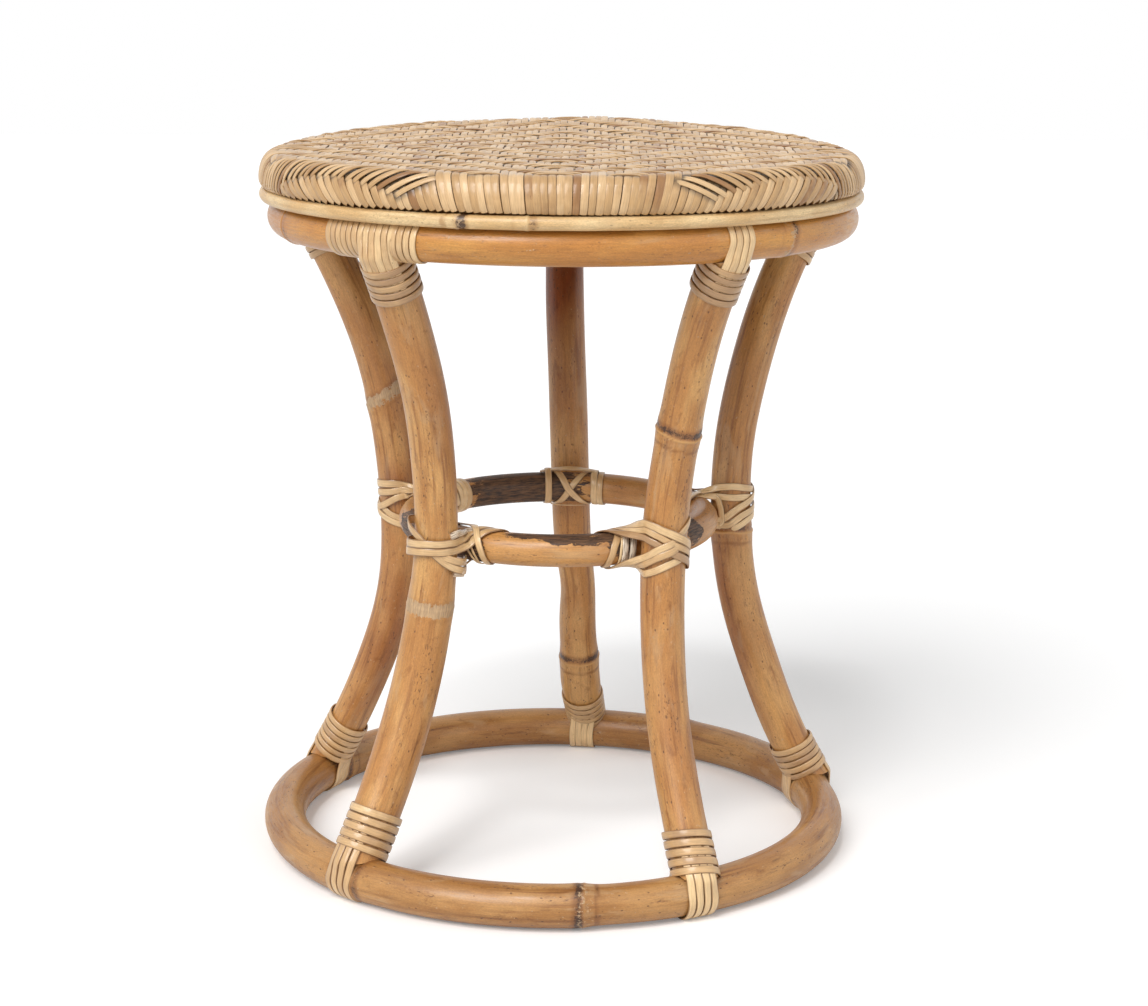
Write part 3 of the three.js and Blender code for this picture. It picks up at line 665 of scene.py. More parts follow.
def edge_profile():
    """The weave's middle layer from its centre to its lip: distance from the axis, height and normal.

    It is a slight crown, a quarter of an ellipse and a short drop that tucks in under the hoop."""
    outside = (WEAVE_HIGH[0] - WEAVE_LOW[0]) / 2 + WEAVE_SPREAD
    rim = WEAVE_HIGH[2] - WEAVE_REAR_LIFT
    level = np.linspace(0, 1, 40)[:-1]
    crown_radius = level * (outside - SHOULDER_WIDTH)
    crown_height = rim - WEAVE_DEPTH + WEAVE_CROWN * (1 - level ** 2)
    turn = np.linspace(math.pi / 2, 0, 40)
    bend_radius = outside - SHOULDER_WIDTH + (SHOULDER_WIDTH - WEAVE_DEPTH) * np.cos(turn)
    bend_height = rim - SHOULDER_DEPTH + (SHOULDER_DEPTH - WEAVE_DEPTH) * np.sin(turn)
    drop = np.linspace(0, 1, 12)[1:]
    drop_radius = bend_radius[-1] - LIP_TUCK * drop ** 3
    drop_height = bend_height[-1] + (WEAVE_LOW[2] + LIP_HEIGHT - bend_height[-1]) * drop
    radius = np.concatenate([crown_radius, bend_radius, drop_radius])
    height = np.concatenate([crown_height, bend_height, drop_height])
    along = np.concatenate([[0], np.cumsum(np.hypot(np.diff(radius), np.diff(height)))])
    slope = np.arctan2(np.gradient(height, along), np.gradient(radius, along))
    return along, radius, height, slope


EDGE_ALONG, EDGE_RADIUS, EDGE_HEIGHT, EDGE_SLOPE = edge_profile()


def draped(across, along, rise):
    """Points of the flat weave laid over the seat: straight out from the middle, along the profile.

    The flat weave is turned and shifted a little first, and drifts by slow waves."""
    cosine, sine = math.cos(WEAVE_TURN), math.sin(WEAVE_TURN)
    drift = 0.5 * np.sin(across / 31 + along / 57 + 1) + 0.35 * np.sin(along / 23 - across / 71)
    u = across * cosine + along * sine + WEAVE_SHIFT + drift
    v = along * cosine - across * sine + 0.5 * np.sin(across / 37 + along / 61)
    distance = np.hypot(u, v)
    slope = np.interp(distance, EDGE_ALONG, EDGE_SLOPE)
    radius = np.interp(distance, EDGE_ALONG, EDGE_RADIUS) - rise * np.sin(slope)
    level = np.interp(distance, EDGE_ALONG, EDGE_HEIGHT) + rise * np.cos(slope)
    x, y = radius * u / distance, radius * v / distance
    share = np.clip((level - WEAVE_LOW[2]) / (EDGE_HEIGHT[0] - WEAVE_LOW[2]), 0, 1)
    share = share * share * (3 - 2 * share)
    bump = 1 + 0.3 * np.exp(-((x - 35) / 45) ** 2) + 0.25 * np.exp(-((x - 150) / 40) ** 2)
    level = level + WEAVE_REAR_LIFT * bump * share * np.clip(y / EDGE_RADIUS.max(), 0, 1) ** 2
    return np.stack([x + WEAVE_EAST, y, level], axis=-1)


def crosswise_over(i, j):
    """Whether the crosswise strip lies over: fours over and under, in diamonds round the middle.

    Outside the last diamond the lengthwise strips stay on top, down to the trim cane. The last
    floats of the crosswise strips are longer on the left and right."""
    diamond = np.abs(i) + np.abs(j)
    late = np.isin(diamond, LATE_DIAMONDS) & (np.abs(i) > LATE_START)
    return ((np.minimum(diamond, LAST_DIAMOND) + 4) % 8 < 4) | late


def trimmed_ends(place, crosswise):
    """Where a strip meets the weave's lip: the flat weave is shifted, so the two ends may differ."""
    middle, off = (-WEAVE_SHIFT, place) if crosswise else (0, place + WEAVE_SHIFT)
    reach = math.sqrt(EDGE_ALONG[-1] ** 2 - off ** 2) - 1.0
    return middle - reach, middle + reach


def weave_rise(row, crosswise, stream):
    """A strip's height over the middle layer, at each half pitch: up over four, down under four.

    Each float over has its own slack, and the corners are eased by a running mean."""
    crossing = np.arange(-WEAVE_ROWS - 10, WEAVE_ROWS + 11)
    over = crosswise_over(crossing, row) if crosswise else ~crosswise_over(row, crossing)
    number = np.concatenate([[0], np.cumsum(over[1:] != over[:-1])])
    slack = stream.uniform(0.7, 1.7 if crosswise else 1.1, len(over))[number]
    rise = np.where(over, slack, -0.85) * WEAVE_RISE
    rise = np.where(np.abs(crossing) > WEAVE_ROWS, 0.5 * WEAVE_RISE, rise)
    rise = np.pad(np.repeat(rise, 2)[:-1], 3, mode="edge")
    along = np.arange(2 * crossing[0], 2 * crossing[-1] + 1) * WEAVE_PITCH / 2
    return along, np.convolve(rise, [0.05, 0.12, 0.2, 0.26, 0.2, 0.12, 0.05], mode="valid")


def weave_strips(crosswise):
    """The strips of one direction, as tubes: a slim section carried along each and laid over the seat.

    Near the rim the crosswise strips get narrower and the lengthwise ones wider."""
    stream = seeded("crosswise" if crosswise else "lengthwise")
    strip_width, growth, start, reach = CROSSWISE if crosswise else LENGTHWISE
    section_across = np.array([-1.0, -0.45, 0.45, 1.0, 1.0, -1.0]) * strip_width / 2
    section_height = np.array([0.08, 0.5, 0.5, 0.08, -0.5, -0.5]) * WEAVE_STRIP_THICKNESS
    tubes = []
    for row in range(-WEAVE_ROWS, WEAVE_ROWS + 1):
        place = row * WEAVE_PITCH
        full, rise = weave_rise(row, crosswise, stream)
        low, high = trimmed_ends(place, crosswise)
        along = np.concatenate([[low], full[(full > low + 0.6) & (full < high - 0.6)], [high]])
        rise = np.interp(along, full, rise)[:, None]
        along = along[:, None]
        sway = stream.normal(0, 0.16)
        sway = sway + 0.22 * np.sin(along / stream.uniform(18, 60) + stream.uniform(0, TURN))
        width = 1 + stream.normal(0, 0.035)
        width = width + growth * np.clip((np.hypot(along, place) - start) / reach, 0, 1)
        height = rise + stream.normal(0, 0.06) + section_height
        side = place + sway + width * section_across
        points = draped(along, side, height)[:, ::-1] if crosswise else draped(side, along, height)
        columns = section_across[::-1] if crosswise else section_across
        tint = np.clip(stream.normal(0.44, 0.27) + (stream.random() < 0.04) * 0.4, 0, 1.1)
        # The strip's depth under the weave, which carries the painted shade where it dips under others
        values = {"strip": strip_place(along, columns, 500, stream), "tint": tint,
                  "sunk": np.clip(0.5 - rise / WEAVE_RISE, 0, 1)}
        tubes.append((points, values, False))
    return tubes


# Bindings

def strip_place(along, across, length, stream):
    """Place along and across a strip, which starts somewhere in a random length of cane."""
    place = [along + length * stream.random(), across, 50 * stream.random()]
    return np.stack(np.broadcast_arrays(*place), axis=-1)


def ring_point(ring, azimuth):
    """The point of a ring's centreline at an azimuth."""
    return ring.shift + ring.radius * outward(azimuth) + ring.height * UP


def smooth(route, step, passes=3):
    """A strip's route in even steps, with its corners eased by averaging neighbours.

    A route is a list of stretches. Each has points and the directions in which the strip's glossy
    face looks there."""
    points, normals = (np.concatenate(part) for part in zip(*route))
    lengths = np.linalg.norm(np.diff(points, axis=0), axis=1)
    keep = np.concatenate([[True], lengths > 1e-6])
    points, normals = points[keep], normals[keep]
    along = np.concatenate([[0], np.cumsum(lengths[lengths > 1e-6])])
    even = np.linspace(0, along[-1], max(int(along[-1] / step), 8))
    points = np.stack([np.interp(even, along, points[:, k]) for k in range(3)], axis=-1)
    normals = np.stack([np.interp(even, along, normals[:, k]) for k in range(3)], axis=-1)
    for _ in range(passes):
        for values in (points, normals):
            values[1:-1] = (values[:-2] + 2 * values[1:-1] + values[2:]) / 4
    tangents = unit(np.gradient(points, axis=0))
    normals = unit(normals - tangents * np.sum(normals * tangents, axis=1, keepdims=True))
    return even, points, normals, np.cross(tangents, normals)


def strip_tube(route, stream, width, thickness, tint, step=1.2):
    """A strip carried along its route: flat underneath and crowned on its glossy face."""
    along, points, normals, sides = (part[:, None] for part in smooth(route, step))
    points[..., 2] = np.maximum(points[..., 2], 0.55 * thickness)
    across = np.array([-1, -0.93, -0.55, 0, 0.55, 0.93, 1, 0.96, -0.96]) * width / 2
    deep = np.array([-0.1, 0.27, 0.43, 0.5, 0.43, 0.27, -0.1, -0.5, -0.5]) * thickness
    breadth = 1 + 0.05 * np.sin(along / stream.uniform(9, 20) + stream.uniform(0, TURN))
    grid = points + (breadth * across)[..., None] * sides + deep[:, None] * normals
    grid[..., 2] = np.maximum(grid[..., 2], 0)
    strip = strip_place(along, across, 900, stream)
    tone = stream.normal(0, 0.12) + 0.1 * np.sin(along / 37 + stream.uniform(0, TURN))
    return grid, {"strip": strip, "tint": tint + np.clip(tone, -0.4, 0.6)}, False


def collar_route(leg, direction, saddle_shift, start, turns, pitch, lean=0.0):
    """A helix round a leg, over the strips that are tucked along its outer and inner faces.

    It starts and ends on the side that faces away from the front, and may lean to the left."""
    turn = np.linspace(0, turns * TURN, int(turns * 40))
    place = direction * turn + math.pi / 2 - leg.azimuth - LEG_TWIST / 2
    heights = start - direction * pitch * turn / TURN - direction * lean * np.sin(direction * turn)
    centre, _, out, side = leg_frame(leg, heights)
    shift = np.where(np.cos(place) > 0, saddle_shift, -saddle_shift) / leg.tube
    face = np.abs(np.cos(place - shift)) ** 1.5
    orbit = leg_tube(leg, heights) + FIT + STRIP_THICKNESS * (0.5 + face) + 0.1
    normal = between(out, side, place)
    return [(centre + orbit[:, None] * normal, normal)]


def saddle_route(leg, ring, direction, start, runs, pitch, leg_shift, ring_shift, tuck=14.0):
    """A strip that runs up one face of a leg, over its ring and down the other face, again and again.

    The runs are shifted round the leg and round the ring by some millimetres."""
    route = []
    orbit = ring.tube + FIT + STRIP_THICKNESS / 2
    leg_orbit = leg.tube + FIT + STRIP_THICKNESS / 2
    ring_azimuth = leg_azimuth(leg, LEG_TOP if direction > 0 else LEG_FOOT)
    for run in range(runs):
        place = (run - (runs - 1) / 2) * pitch
        face = 1 if run % 2 == 0 else -1
        stretches = []
        for side in (face, -face):
            turn = (place + leg_shift) / leg_orbit
            offset = leg_orbit * np.array([[side * math.cos(turn), math.sin(turn)]])
            last = end_height(leg, ring, direction, offset)[0]
            heights = np.linspace(start - direction * tuck, last, 14)
            stretches.append(leg_stretch(leg, heights, side, turn, leg_orbit))
        turns = np.linspace(0, math.pi, 24) if face > 0 else np.linspace(math.pi, 0, 24)
        azimuth = ring_azimuth + (place + ring_shift) / ring.radius + 0 * turns
        normal = between(outward(azimuth), direction * UP, turns)
        points, normals = stretches[1]
        route += [stretches[0], (ring_point(ring, azimuth) + orbit * normal, normal),
                  (points[::-1], normals[::-1])]
    return route


def leg_stretch(leg, heights, face, turn, orbit):
    """Points along one face of a leg, at a turn from the middle of that face."""
    centre, _, out, side = leg_frame(leg, heights)
    normal = between(face * out, side, turn)
    return centre + (orbit + leg_bend(leg, heights)[2])[:, None] * normal, normal


def ring_wrap_route(leg, side, passes, start, pitch=STRIP_PITCH):
    """A helix round the seat ring beside a leg, one turn beside the last. It starts and ends inside."""
    turn = np.linspace(-0.6, passes - 0.4, passes * 40) * TURN
    azimuth = leg_azimuth(leg, LEG_TOP) + side * (start + pitch * turn / TURN) / SEAT.radius
    normal = between(outward(azimuth), UP, turn)
    return [(ring_point(SEAT, azimuth) + (SEAT.tube + FIT + STRIP_THICKNESS / 2) * normal, normal)]


def on_leg(*stops):
    """A run of a strip on the leg. A stop whose layer is left out gets layer 0."""
    return "leg", [(*stop, 0)[:3] for stop in stops]


def on_ring(*stops):
    """A run of a strip on the waist ring. A stop whose layer is left out gets layer 0."""
    return "ring", [(*stop, 0)[:3] for stop in stops]


def lashing_route(leg, runs):
    """A strip of a waist lashing, as runs of stops on the leg or on the waist ring.

    A stop on the leg is its turn from outwards in degrees, its height over the ring and its layer.
    A stop on the ring is its distance from the leg, its turn from outwards over the top, and its
    layer. Between stops the numbers change evenly, and from one run to the next the strip is
    straight."""
    route = []
    for body, stops in runs:
        stops = np.array(stops, float)
        even = np.linspace(0, len(stops) - 1, 10 * len(stops))
        first, second, layer = (np.interp(even, np.arange(len(stops)), stops[:, k]) for k in range(3))
        depth = FIT + STRIP_THICKNESS * (0.5 + layer)
        if body == "leg":
            centre, _, out, side = leg_frame(leg, WAIST.height + second)
            normal = between(out, side, np.radians(first))
            orbit = leg_tube(leg, WAIST.height + second) + depth
        else:
            azimuth = leg.azimuth + LEG_TWIST / 2 + first / WAIST.radius
            centre = ring_point(WAIST, azimuth)
            normal = between(outward(azimuth), UP, np.radians(second))
            orbit = WAIST.tube + depth
        route.append((centre + orbit[:, None] * normal, normal))
    return route


def lashing_piece(leg):
    """A waist lashing: its woven strips, thin torn ones and short grey cut ends."""
    name = "waist_lashing_" + leg.name
    stream = seeded(name)
    tubes = [strip_tube(lashing_route(leg, runs), stream, *LASHING_KINDS[kind])
             for kind, *runs in LASHINGS[leg.name]]
    add_piece(name, tubes, binding_strip, "binding_strip", name, sharp=60)


def binding_piece(name, route, width, tint):
    """A binding that is one strip from end to end."""
    tube = strip_tube(route, seeded(name), width, STRIP_THICKNESS, tint)
    add_piece(name, [tube], binding_strip, "binding_strip", name, sharp=60)


# Finishes
leg_cane = cane_material("leg_cane", rgb(204, 154, 92), rgb(182, 126, 66), rgb(130, 77, 32), streak=0.7)
base_ring_cane = cane_material("base_ring_cane", rgb(182, 134, 78), rgb(160, 110, 56), rgb(116, 68, 29),
                               streak=0.7)
waist_ring_cane = cane_material("waist_ring_cane", rgb(196, 142, 80), rgb(176, 119, 60), rgb(126, 76, 32),
                                bark=True)
seat_ring_cane = cane_material("seat_ring_cane", rgb(202, 144, 70), rgb(186, 124, 54), rgb(152, 94, 38),
                               speckle=0.3, streak=0.35, gloss=0.34, coat=0.25)
trim_cane = cane_material("trim_cane", rgb(226, 196, 146), rgb(208, 170, 116), rgb(164, 118, 66),
                          speckle=0.3)
support_cane = cane_material("support_cane", rgb(176, 132, 84), rgb(154, 110, 64), rgb(110, 72, 38))
woven_strip = strip_material("woven_strip", rgb(216, 180, 133), rgb(190, 151, 102), rgb(152, 108, 63),
                             coat=0.25)
binding_strip = strip_material("binding_strip", rgb(230, 196, 146), rgb(204, 165, 116), rgb(176, 138, 98))

# Rings
ring_piece("base_ring", BASE, base_ring_cane, "ring_cane", sides=44,
           knots=[Knot(595, 1, 0.6, 0.25, 1.1, 0.3, -1.1, -1), Knot(1034, 2, 0.8, 0.5, 0.9),
                  Knot(452, 1, 0.6, 0.4, 0.7), Knot(200, 2, 0.7, 0.5, 0.8),
                  Knot(893, 1, 0.9, 0.6, 0.6, 0.7), Knot(903, 1, 0.2, 0.5, 0.3)])
# The waist ring's patch 13 mm past the front left leg paints the lashing's shadow; the rest are bark
ring_piece("waist_ring", WAIST, waist_ring_cane, "ring_cane", sides=36, seam=229.5,
           knots=[Knot(150, 1, 0.5, 0.4, 0.7)],
           patches=[(384, 52, 200, 145), (72, 40, 285, 46), (158, 10, 330, 60), (13, 11, 15, 70),
                    (103, 9, 330, 60), (552, 34, 330, 125)])
ring_piece("seat_ring", SEAT, seat_ring_cane, "ring_cane", sides=44,
           knots=[Knot(365, 1, 0.4, 0.3, 0.6), Knot(705, 1, 0.4, 0.2, 0.8, 0.35),
                  Knot(1020, 1, 0.5, 0.4, 0.8)])
ring_piece("trim_cane", TRIM, trim_cane, "trim_cane", sides=20,
           knots=[Knot(544, 1, 0.25, 0.2, 1.4, 0.3), Knot(584, 0.5, 0.2, 0.2, 0.6),
                  Knot(250, 1, 0.25, 0.3, 0.8), Knot(980, 1, 0.25, 0.3, 0.8)])
for part in ("middle", "front", "rear"):
    straight_piece("support_cane_" + part, support_cane)
ring_piece("seat_hoop", HOOP, support_cane, "support_cane", sides=24)

# Legs
LEG_KNOTS = {
    "front_left": [Knot(149.5, 1.2, 0.5, 0.2, 0.35, 1.0)],
    "front_right": [Knot(261, 1.5, 0.8, 0.6, 1.0)],
    "back_right": [Knot(169, 1, 0.7, 0.5, 0.8)],
    "rear": [Knot(50, 1, 0.8, 0.5, 1.0, 0, 0.5)],
    "back_left": [Knot(256, 5, 0.7, 0.5, 0.5, 0.8)],
}
# Stains and painted shade on the legs: the bands at the rear leg's top paint the seat's shadow
LEG_STAINS_AND_SHADE = {
    "front_left": [Stain(330, 70, 100, 0.9, 0.35)],
    "front_right": [Stain(240, 30, 20, 0.7, 0.3), Stain(110, 60, -30, 1.5, 0.3)],
    "back_right": [Stain(150, 60, 200, 1.2, 0.55)],
    "rear": [Stain(385, 75, 180, 9, 0.95), Stain(385, 110, 150, 1.0, 0.6)],
    "back_left": [Stain(340, 110, 140, 1.1, 0.25), Stain(225, 16, 110, 1.0, 0.6),
                  Stain(120, 70, 140, 1.1, 0.6)],
}
for leg in LEGS:
    leg_piece(leg, leg_cane, LEG_KNOTS[leg.name], LEG_STAINS_AND_SHADE[leg.name])

# Woven seat
add_piece("weave_crosswise", weave_strips(True), woven_strip, "woven_strip", "woven_seat")
add_piece("weave_lengthwise", weave_strips(False), woven_strip, "woven_strip", "woven_seat")

# Collars: the height where one starts, its turns, their pitch and how far it leans
TOP_COLLARS = {"front_left": (396, 5, 4.4), "front_right": (398, 5, 4.4), "back_right": (393, 4, 4.2),
               "rear": (393, 4, 4.2), "back_left": (393, 4, 4.2)}
FOOT_COLLARS = {"front_left": (28.2, 5, 4.9, -1.2), "front_right": (24, 5, 5.0, 1.0),
                "back_right": (28, 5, 4.2), "rear": (25, 5, 4.2), "back_left": (29, 6, 4.2)}

# Saddles: runs, their pitch, and their shifts on the leg and on the ring
TOP_SADDLES = {"front_left": (6, 4.2, 6.5, 3.1), "front_right": (4, 4.3, -3.4, -1.7),
               "back_right": (3, 4.2, 0, 0), "rear": (3, 4.2, 0, 0), "back_left": (3, 4.2, 0, 0)}
FOOT_SADDLES = {"front_left": (4, 5.1, 2, 0.5), "front_right": (4, 4.9, -4, -1),
                "back_right": (4, 4.2, 0, 0), "rear": (4, 4.6, 0, 0), "back_left": (4, 4.2, 0, 0)}

# Waist lashings: the width, thickness, tone and fineness of each kind of strip, then the strips
LASHING_KINDS = {"strip": (4.5, STRIP_THICKNESS, 0.35, 1.2), "wide": (5.2, STRIP_THICKNESS, 0.42, 1.2),
                 "dull": (4.5, STRIP_THICKNESS, 0.95, 1.2), "thin": (1.5, 0.7, 0.3, 0.8),
                 "cut end": (4.0, 2.0, 2.0, 0.6)}
LASHINGS = {
    "front_left": [
        ("wide", on_ring((-18, 200), (-15, 150), (-12.5, 105, 1.5)),
         on_leg((-62, 18.5, 4), (-34, 15.6, 3), (-6, 10.4, 0.6), (22, 4.5), (64, -4.4, 0.6),
                (88, -8, 2.6), (108, -10, 5), (128, -11, 5.5), (150, -11, 4.5)),
         on_ring((12, -160), (12, -200))),
        ("strip", on_leg((-14, 6), (12, 3), (40, 1), (62, -0.8, 0.4), (86, -3.2, 2.6), (106, -4.8, 5),
                         (126, -5.5, 5.3), (150, -6, 4)),
         on_ring((12, -150), (12, -190))),
        ("wide", on_ring((-21, -150), (-19, -80)),
         on_leg((-100, 3, 4), (-44, 4.6, 4), (-12, 6.2, 2.6), (18, 7.3, 1.6), (76, 7.6, 1.2), (102, 7, 1)),
         on_ring((12, 40, 1), (14, 62, 1), (17, 84, 1), (21, 106, 0.6), (24, 150), (25, 200))),
        ("wide", on_ring((-17, -170), (-16, -90)),
         on_leg((-100, -4, 4), (-44, -0.8, 4), (-12, 1, 2.6), (18, 2.1, 1.6), (76, 2.4, 1.2), (96, 2, 1)),
         on_ring((15, 16, 1), (18, 40, 1), (22, 66, 1), (27, 90, 0.4), (30, 130), (31, 190))),
        ("strip", on_ring((-20, 160), (-12, 124), (-3, 113, 0.2), (8, 98, 0.8), (16, 62, 2.1),
                          (20, 24, 2), (22, -4, 1), (23, -44), (22, -100), (18, -170))),
        ("thin", on_ring((11, 30, 0.5), (13, 0, 0.6), (16, -36, 0.4), (17, -80))),
        ("thin", on_ring((14, 24, 0.5), (16, 0, 0.6), (18, -30, 0.4), (18, -80))),
        ("cut end", on_leg((80, 11.5, 0.4), (96, 12.5, 1.5)), on_ring((9, 56, 0.8), (13, 64, 0.9))),
        ("cut end", on_leg((92, -11.5, 1.5), (106, -11.8, 4), (112, -11.8, 5))),
    ],
    "front_right": [
        ("dull", on_ring((-15, 190), (-15, 120), (-16, 60), (-20, 20), (-22.5, -30), (-23.5, -80),
                         (-20, -170))),
        ("dull", on_ring((-27, 180), (-25, 120), (-19, 80, 1.2)),
         on_leg((-88, 11.3, 1.3), (-56, 9, 1), (-12, 2.6, 1), (33, -2.7, 1), (68, -8, 1)),
         on_ring((14, -88), (16, -150))),
        ("strip", on_ring((-23, 180), (-20, 130, 0.6), (-14, 102, 1.5)),
         on_leg((-82, 16.3, 1.4), (-48, 13.6, 1), (-22, 10, 1), (42, 2.4, 1), (72, -3, 1)),
         on_ring((17, -64), (20, -130))),
        ("wide", on_ring((-18, 190, 1), (-15, 140, 1), (-10, 108, 1.9)),
         on_leg((-86, 20.4, 1.6), (-60, 19.4, 1.5), (-24, 16.2, 1.8), (12, 11.4, 1.8), (42, 6.6, 1.4),
                (74, 2, 1)),
         on_ring((20, -30), (24, -80), (24, -160))),
        ("strip", on_ring((-23, -170), (-21.5, -120, 0.5), (-20, -82, 1.4)),
         on_leg((-86, -1.4, 1), (-66, 1.4, 1.6), (-50, 5, 2.1), (-26, 8.6, 2.1), (-14, 10.4, 1),
                (-2, 12.8), (12, 16.5), (36, 21), (58, 23)),
         on_ring((9, 110), (10, 180))),
        ("strip", on_ring((-16, -160), (-13, -115, 0.5), (-11, -90, 0.9)),
         on_leg((-84, -5.6, 0.8), (-62, -2, 1), (-45, 0.8, 2.1), (-18, 4.4, 2.1), (-8, 5.8, 1), (2, 8),
                (28, 11))),
        ("strip", on_ring((-6, -160), (-3, -110, 0.4)),
         on_leg((-84, -11.6, 0.4), (-54, -8.7), (-18, -3.7), (-3, -2.2), (18, 0))),
        ("cut end", on_ring((-12, 62, 0.4), (-14, 10, 0.5), (-14, -44, 0.3))),
        ("cut end", on_ring((-7, 58, 0.3), (-9, 10, 0.5), (-10, -38, 0.3))),
        ("thin", on_ring((-14, 60, 0.6), (-16.5, 6, 0.7), (-17, -50, 0.4))),
    ],
    "rear": [
        ("strip", on_ring((15, 20), (14, 60, 1), (14, 100, 2.6), (14, 140, 1.2), (14, 176), (14, 230),
                          (15, 300))),
        ("strip", on_leg((90, -15), (0, -15.5), (-96, -14)),
         on_ring((-14, -100), (-13, -118), (-7, -156, 0.4), (-1, -184, 1), (4, -226, 1), (10, -276, 0.6)),
         on_leg((100, 3.5), (40, 4), (0, 4), (-40, 4), (-96, 3.5)),
         on_ring((-14, 84), (-8, 138), (-2, 176), (2, 208), (8, 252)),
         on_leg((110, -13), (60, -10), (0, -10.5), (-96, -11))),
        ("strip", on_ring((19, 92, 0.2), (14, 98, 1.6), (10, 104, 2.6), (5, 110, 4), (-1, 112, 4.6),
                          (-8, 110, 4), (-14, 104, 2.4), (-20, 98, 1.2))),
        ("thin", on_ring((10, -96, 1), (4, -104, 1.6), (-5, -104, 1.6), (-12, -96, 1))),
        ("strip", on_ring((-17, 30), (-18, 70, 1), (-19.5, 110, 1.6), (-21, 168), (-20, 230), (-19, 320))),
        ("strip", on_ring((-20, 30), (-23.5, 90), (-25.5, 168), (-24.5, 230), (-23, 320))),
    ],
    "back_right": [
        ("strip", on_ring((-22, 200), (-14, 150), (-4, 100)),
         on_leg((-142, 14.8), (-103, 15.8), (-61, 14.3), (-10, 12), (70, 9)),
         on_ring((14, 60), (18, 130), (18, 200))),
        ("strip", on_ring((-16, 200), (-12, 150), (-8, 104)),
         on_leg((-142, 8.8), (-100, 8.4), (-66, 8.4), (-10, 6), (70, 3)),
         on_ring((16, 40), (20, 130), (22, 200))),
        ("strip", on_ring((-21, 170), (-13, 118, 1), (-6, 76, 1.4)),
         on_leg((-144, 8, 1), (-134, 1.3, 1), (-132, -8.2, 0.6)), on_ring((-5, -80, 0.5), (-3, -150))),
        ("strip", on_leg((50, 16), (10, 14, 1), (-34, 8.3, 1.1), (-91, 1.8, 1.1), (-127, -5.2, 0.4)),
         on_ring((-4, -100), (-2, -160))),
        ("strip", on_leg((60, 5), (10, 4, 1), (-34, 0.3, 1.1), (-79, -3.4, 0.2), (-116, -9.5)),
         on_ring((-2, -120), (2, -170))),
        ("strip", on_leg((50, -3), (-10, -3, 1), (-60, -7), (-100, -11.5)), on_ring((2, -130))),
    ],
    "back_left": [
        ("wide", on_ring((-20, 200), (-16, 100)),
         on_leg((-90, 12), (0, 13), (69, 14.8), (111, 14.8), (138, 12.8)),
         on_ring((10, 120), (14, 180), (16, 240))),
        ("strip", on_ring((-16, 190), (-14, 80)),
         on_leg((-90, 5), (0, 6.5), (66, 8.8), (108, 9.8), (130, 10.5)),
         on_ring((14, 80), (18, 130), (18, 200))),
        ("strip", on_leg((-60, -12), (0, -6, 1), (50, -1.2, 1.2), (66, -0.2, 1.2), (111, 5.8, 1),
                         (138, 6.8, 0.6)),
         on_ring((12, 40), (18, 60), (22, 120), (22, 200))),
        ("strip", on_leg((-60, 8), (0, 2), (50, -1, 0.2), (66, -2.2, 0.2), (93, -6.2), (123, -8.7)),
         on_ring((6, -80), (8, -160))),
        ("strip", on_leg((-60, 2, 1), (0, -1, 1), (40, -4, 1.2), (63, -6.8, 1.2), (93, -10, 0.6),
                         (129, -13)),
         on_ring((3, -100), (4, -160))),
        ("strip", on_ring((-22, -60), (-24, 0), (-25, 60), (-25, 120), (-25, 180), (-24, 260))),
        ("strip", on_ring((-28, -60), (-29, 0), (-29.5, 60), (-30, 120), (-29, 180), (-28, 260))),
        ("strip", on_ring((-33, -60), (-34, 0), (-34, 60), (-34, 120), (-33.5, 180), (-32, 260))),
    ],
}

# The bindings
for leg in LEGS:
    for place, ring, direction, collar, saddle, collar_tint in (
            ("top", SEAT, 1, TOP_COLLARS[leg.name], TOP_SADDLES[leg.name], 0.75),
            ("foot", BASE, -1, FOOT_COLLARS[leg.name], FOOT_SADDLES[leg.name], 0.6)):
        route = saddle_route(leg, ring, direction, collar[0], *saddle)
        binding_piece(place + "_saddle_" + leg.name, route, saddle[1] - STRIP_GAP, 0.25)
        route = collar_route(leg, direction, saddle[2], *collar)
        binding_piece(place + "_collar_" + leg.name, route, collar[2] - STRIP_GAP, collar_tint)
    lashing_piece(leg)
binding_piece("ring_wrap_left", ring_wrap_route(LEGS[0], -1, 6, 11.6), STRIP_WIDTH, 0.65)
binding_piece("ring_wrap_right", ring_wrap_route(LEGS[0], 1, 4, 15.0), STRIP_WIDTH, 0.35)

# Nails keep their plain shapes and get their finish
steel = nail_material()
for name, node in frame["nodes"].items():
    if name.startswith(("nail_", "pin_")):
        node.data.materials.clear()
        node.data.materials.append(steel)


# Floor, backdrop, lamps and camera

def floor():
    """A wide pale floor. To the camera it is white where it is lit, and it keeps the shadow."""
    half = 6.0
    corners = [(-half, -half, 0), (half, -half, 0), (half, half, 0), (-half, half, 0)]
    mesh = bpy.data.meshes.new("floor")
    mesh.from_pydata(corners, [], [(0, 1, 2, 3)])
    shader = Shader("pale_floor")
    glow = shader.times(shader.node("LightPath").outputs["Is Camera Ray"], FLOOR_GLOW)
    mesh.materials.append(shader.dress(Base_Color=(0.9, 0.9, 0.9, 1), Roughness=0.8, Specular_IOR_Level=0.1,
                                       Emission_Color=(1, 1, 1, 1), Emission_Strength=glow))
    piece = bpy.data.objects.new("floor", mesh)
    bpy.context.scene.collection.objects.link(piece)


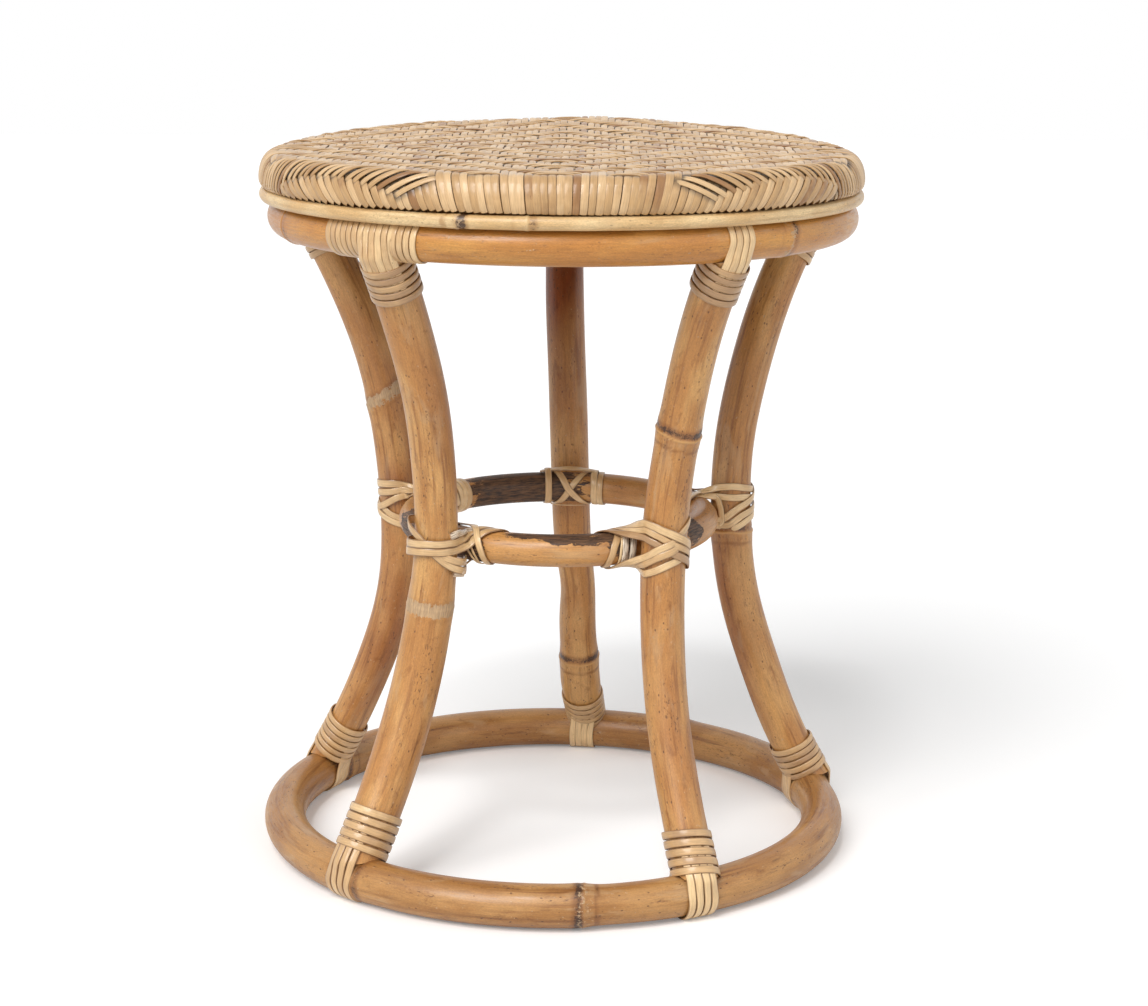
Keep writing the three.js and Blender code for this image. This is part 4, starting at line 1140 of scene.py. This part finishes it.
def world():
    """A white surround for the camera and for reflections, and a plain soft light for the rest."""
    made = bpy.data.worlds.new("studio")
    made.use_nodes = True
    nodes, links = made.node_tree.nodes, made.node_tree.links
    nodes.clear()
    path = nodes.new("ShaderNodeLightPath")
    seen = nodes.new("ShaderNodeMath")
    seen.operation = "MAXIMUM"
    mix = nodes.new("ShaderNodeMixShader")
    links.new(path.outputs["Is Camera Ray"], seen.inputs[0])
    links.new(path.outputs["Is Glossy Ray"], seen.inputs[1])
    links.new(seen.outputs[0], mix.inputs[0])
    for socket, strength in ((1, STUDIO_LIGHT), (2, 1.0)):
        light = nodes.new("ShaderNodeBackground")
        light.inputs["Color"].default_value = (1, 1, 1, 1)
        light.inputs["Strength"].default_value = strength
        links.new(light.outputs[0], mix.inputs[socket])
    links.new(mix.outputs[0], nodes.new("ShaderNodeOutputWorld").inputs[0])
    bpy.context.scene.world = made


def soft_sun(name, azimuth, elevation, strength, width):
    """A wide soft light from far away: its azimuth is 0 on the right and 90 at the back."""
    lamp = bpy.data.lights.new(name, "SUN")
    lamp.energy = strength
    lamp.angle = math.radians(width)
    made = bpy.data.objects.new(name, lamp)
    turn = Matrix.Rotation(math.radians(azimuth + 90), 4, "Z")
    made.matrix_world = turn @ Matrix.Rotation(math.radians(90 - elevation), 4, "X")
    bpy.context.scene.collection.objects.link(made)


def camera():
    """The camera stands in front of the stool, a little higher than the seat, and looks down."""
    data = bpy.data.cameras.new("camera")
    data.sensor_width = 36.0
    data.lens = FOCAL_PIXELS / IMAGE_WIDTH * data.sensor_width
    made = bpy.data.objects.new("camera", data)
    yaw, pitch, roll = (math.radians(angle) for angle in CAMERA_TURNS)
    aim = Matrix.Rotation(math.pi / 2 - pitch, 4, "X") @ Matrix.Rotation(roll, 4, "Z")
    made.matrix_world = Matrix.Translation(CAMERA_PLACE) @ Matrix.Rotation(yaw, 4, "Z") @ aim
    bpy.context.scene.collection.objects.link(made)
    bpy.context.scene.camera = made


floor()
world()
soft_sun("key", -122, 42, 2.1, 36)
soft_sun("fill", -35, 30, 0.4, 60)
soft_sun("glint", -104, 58, 0.5, 8)
camera()
bpy.context.scene.view_settings.view_transform = "Standard"
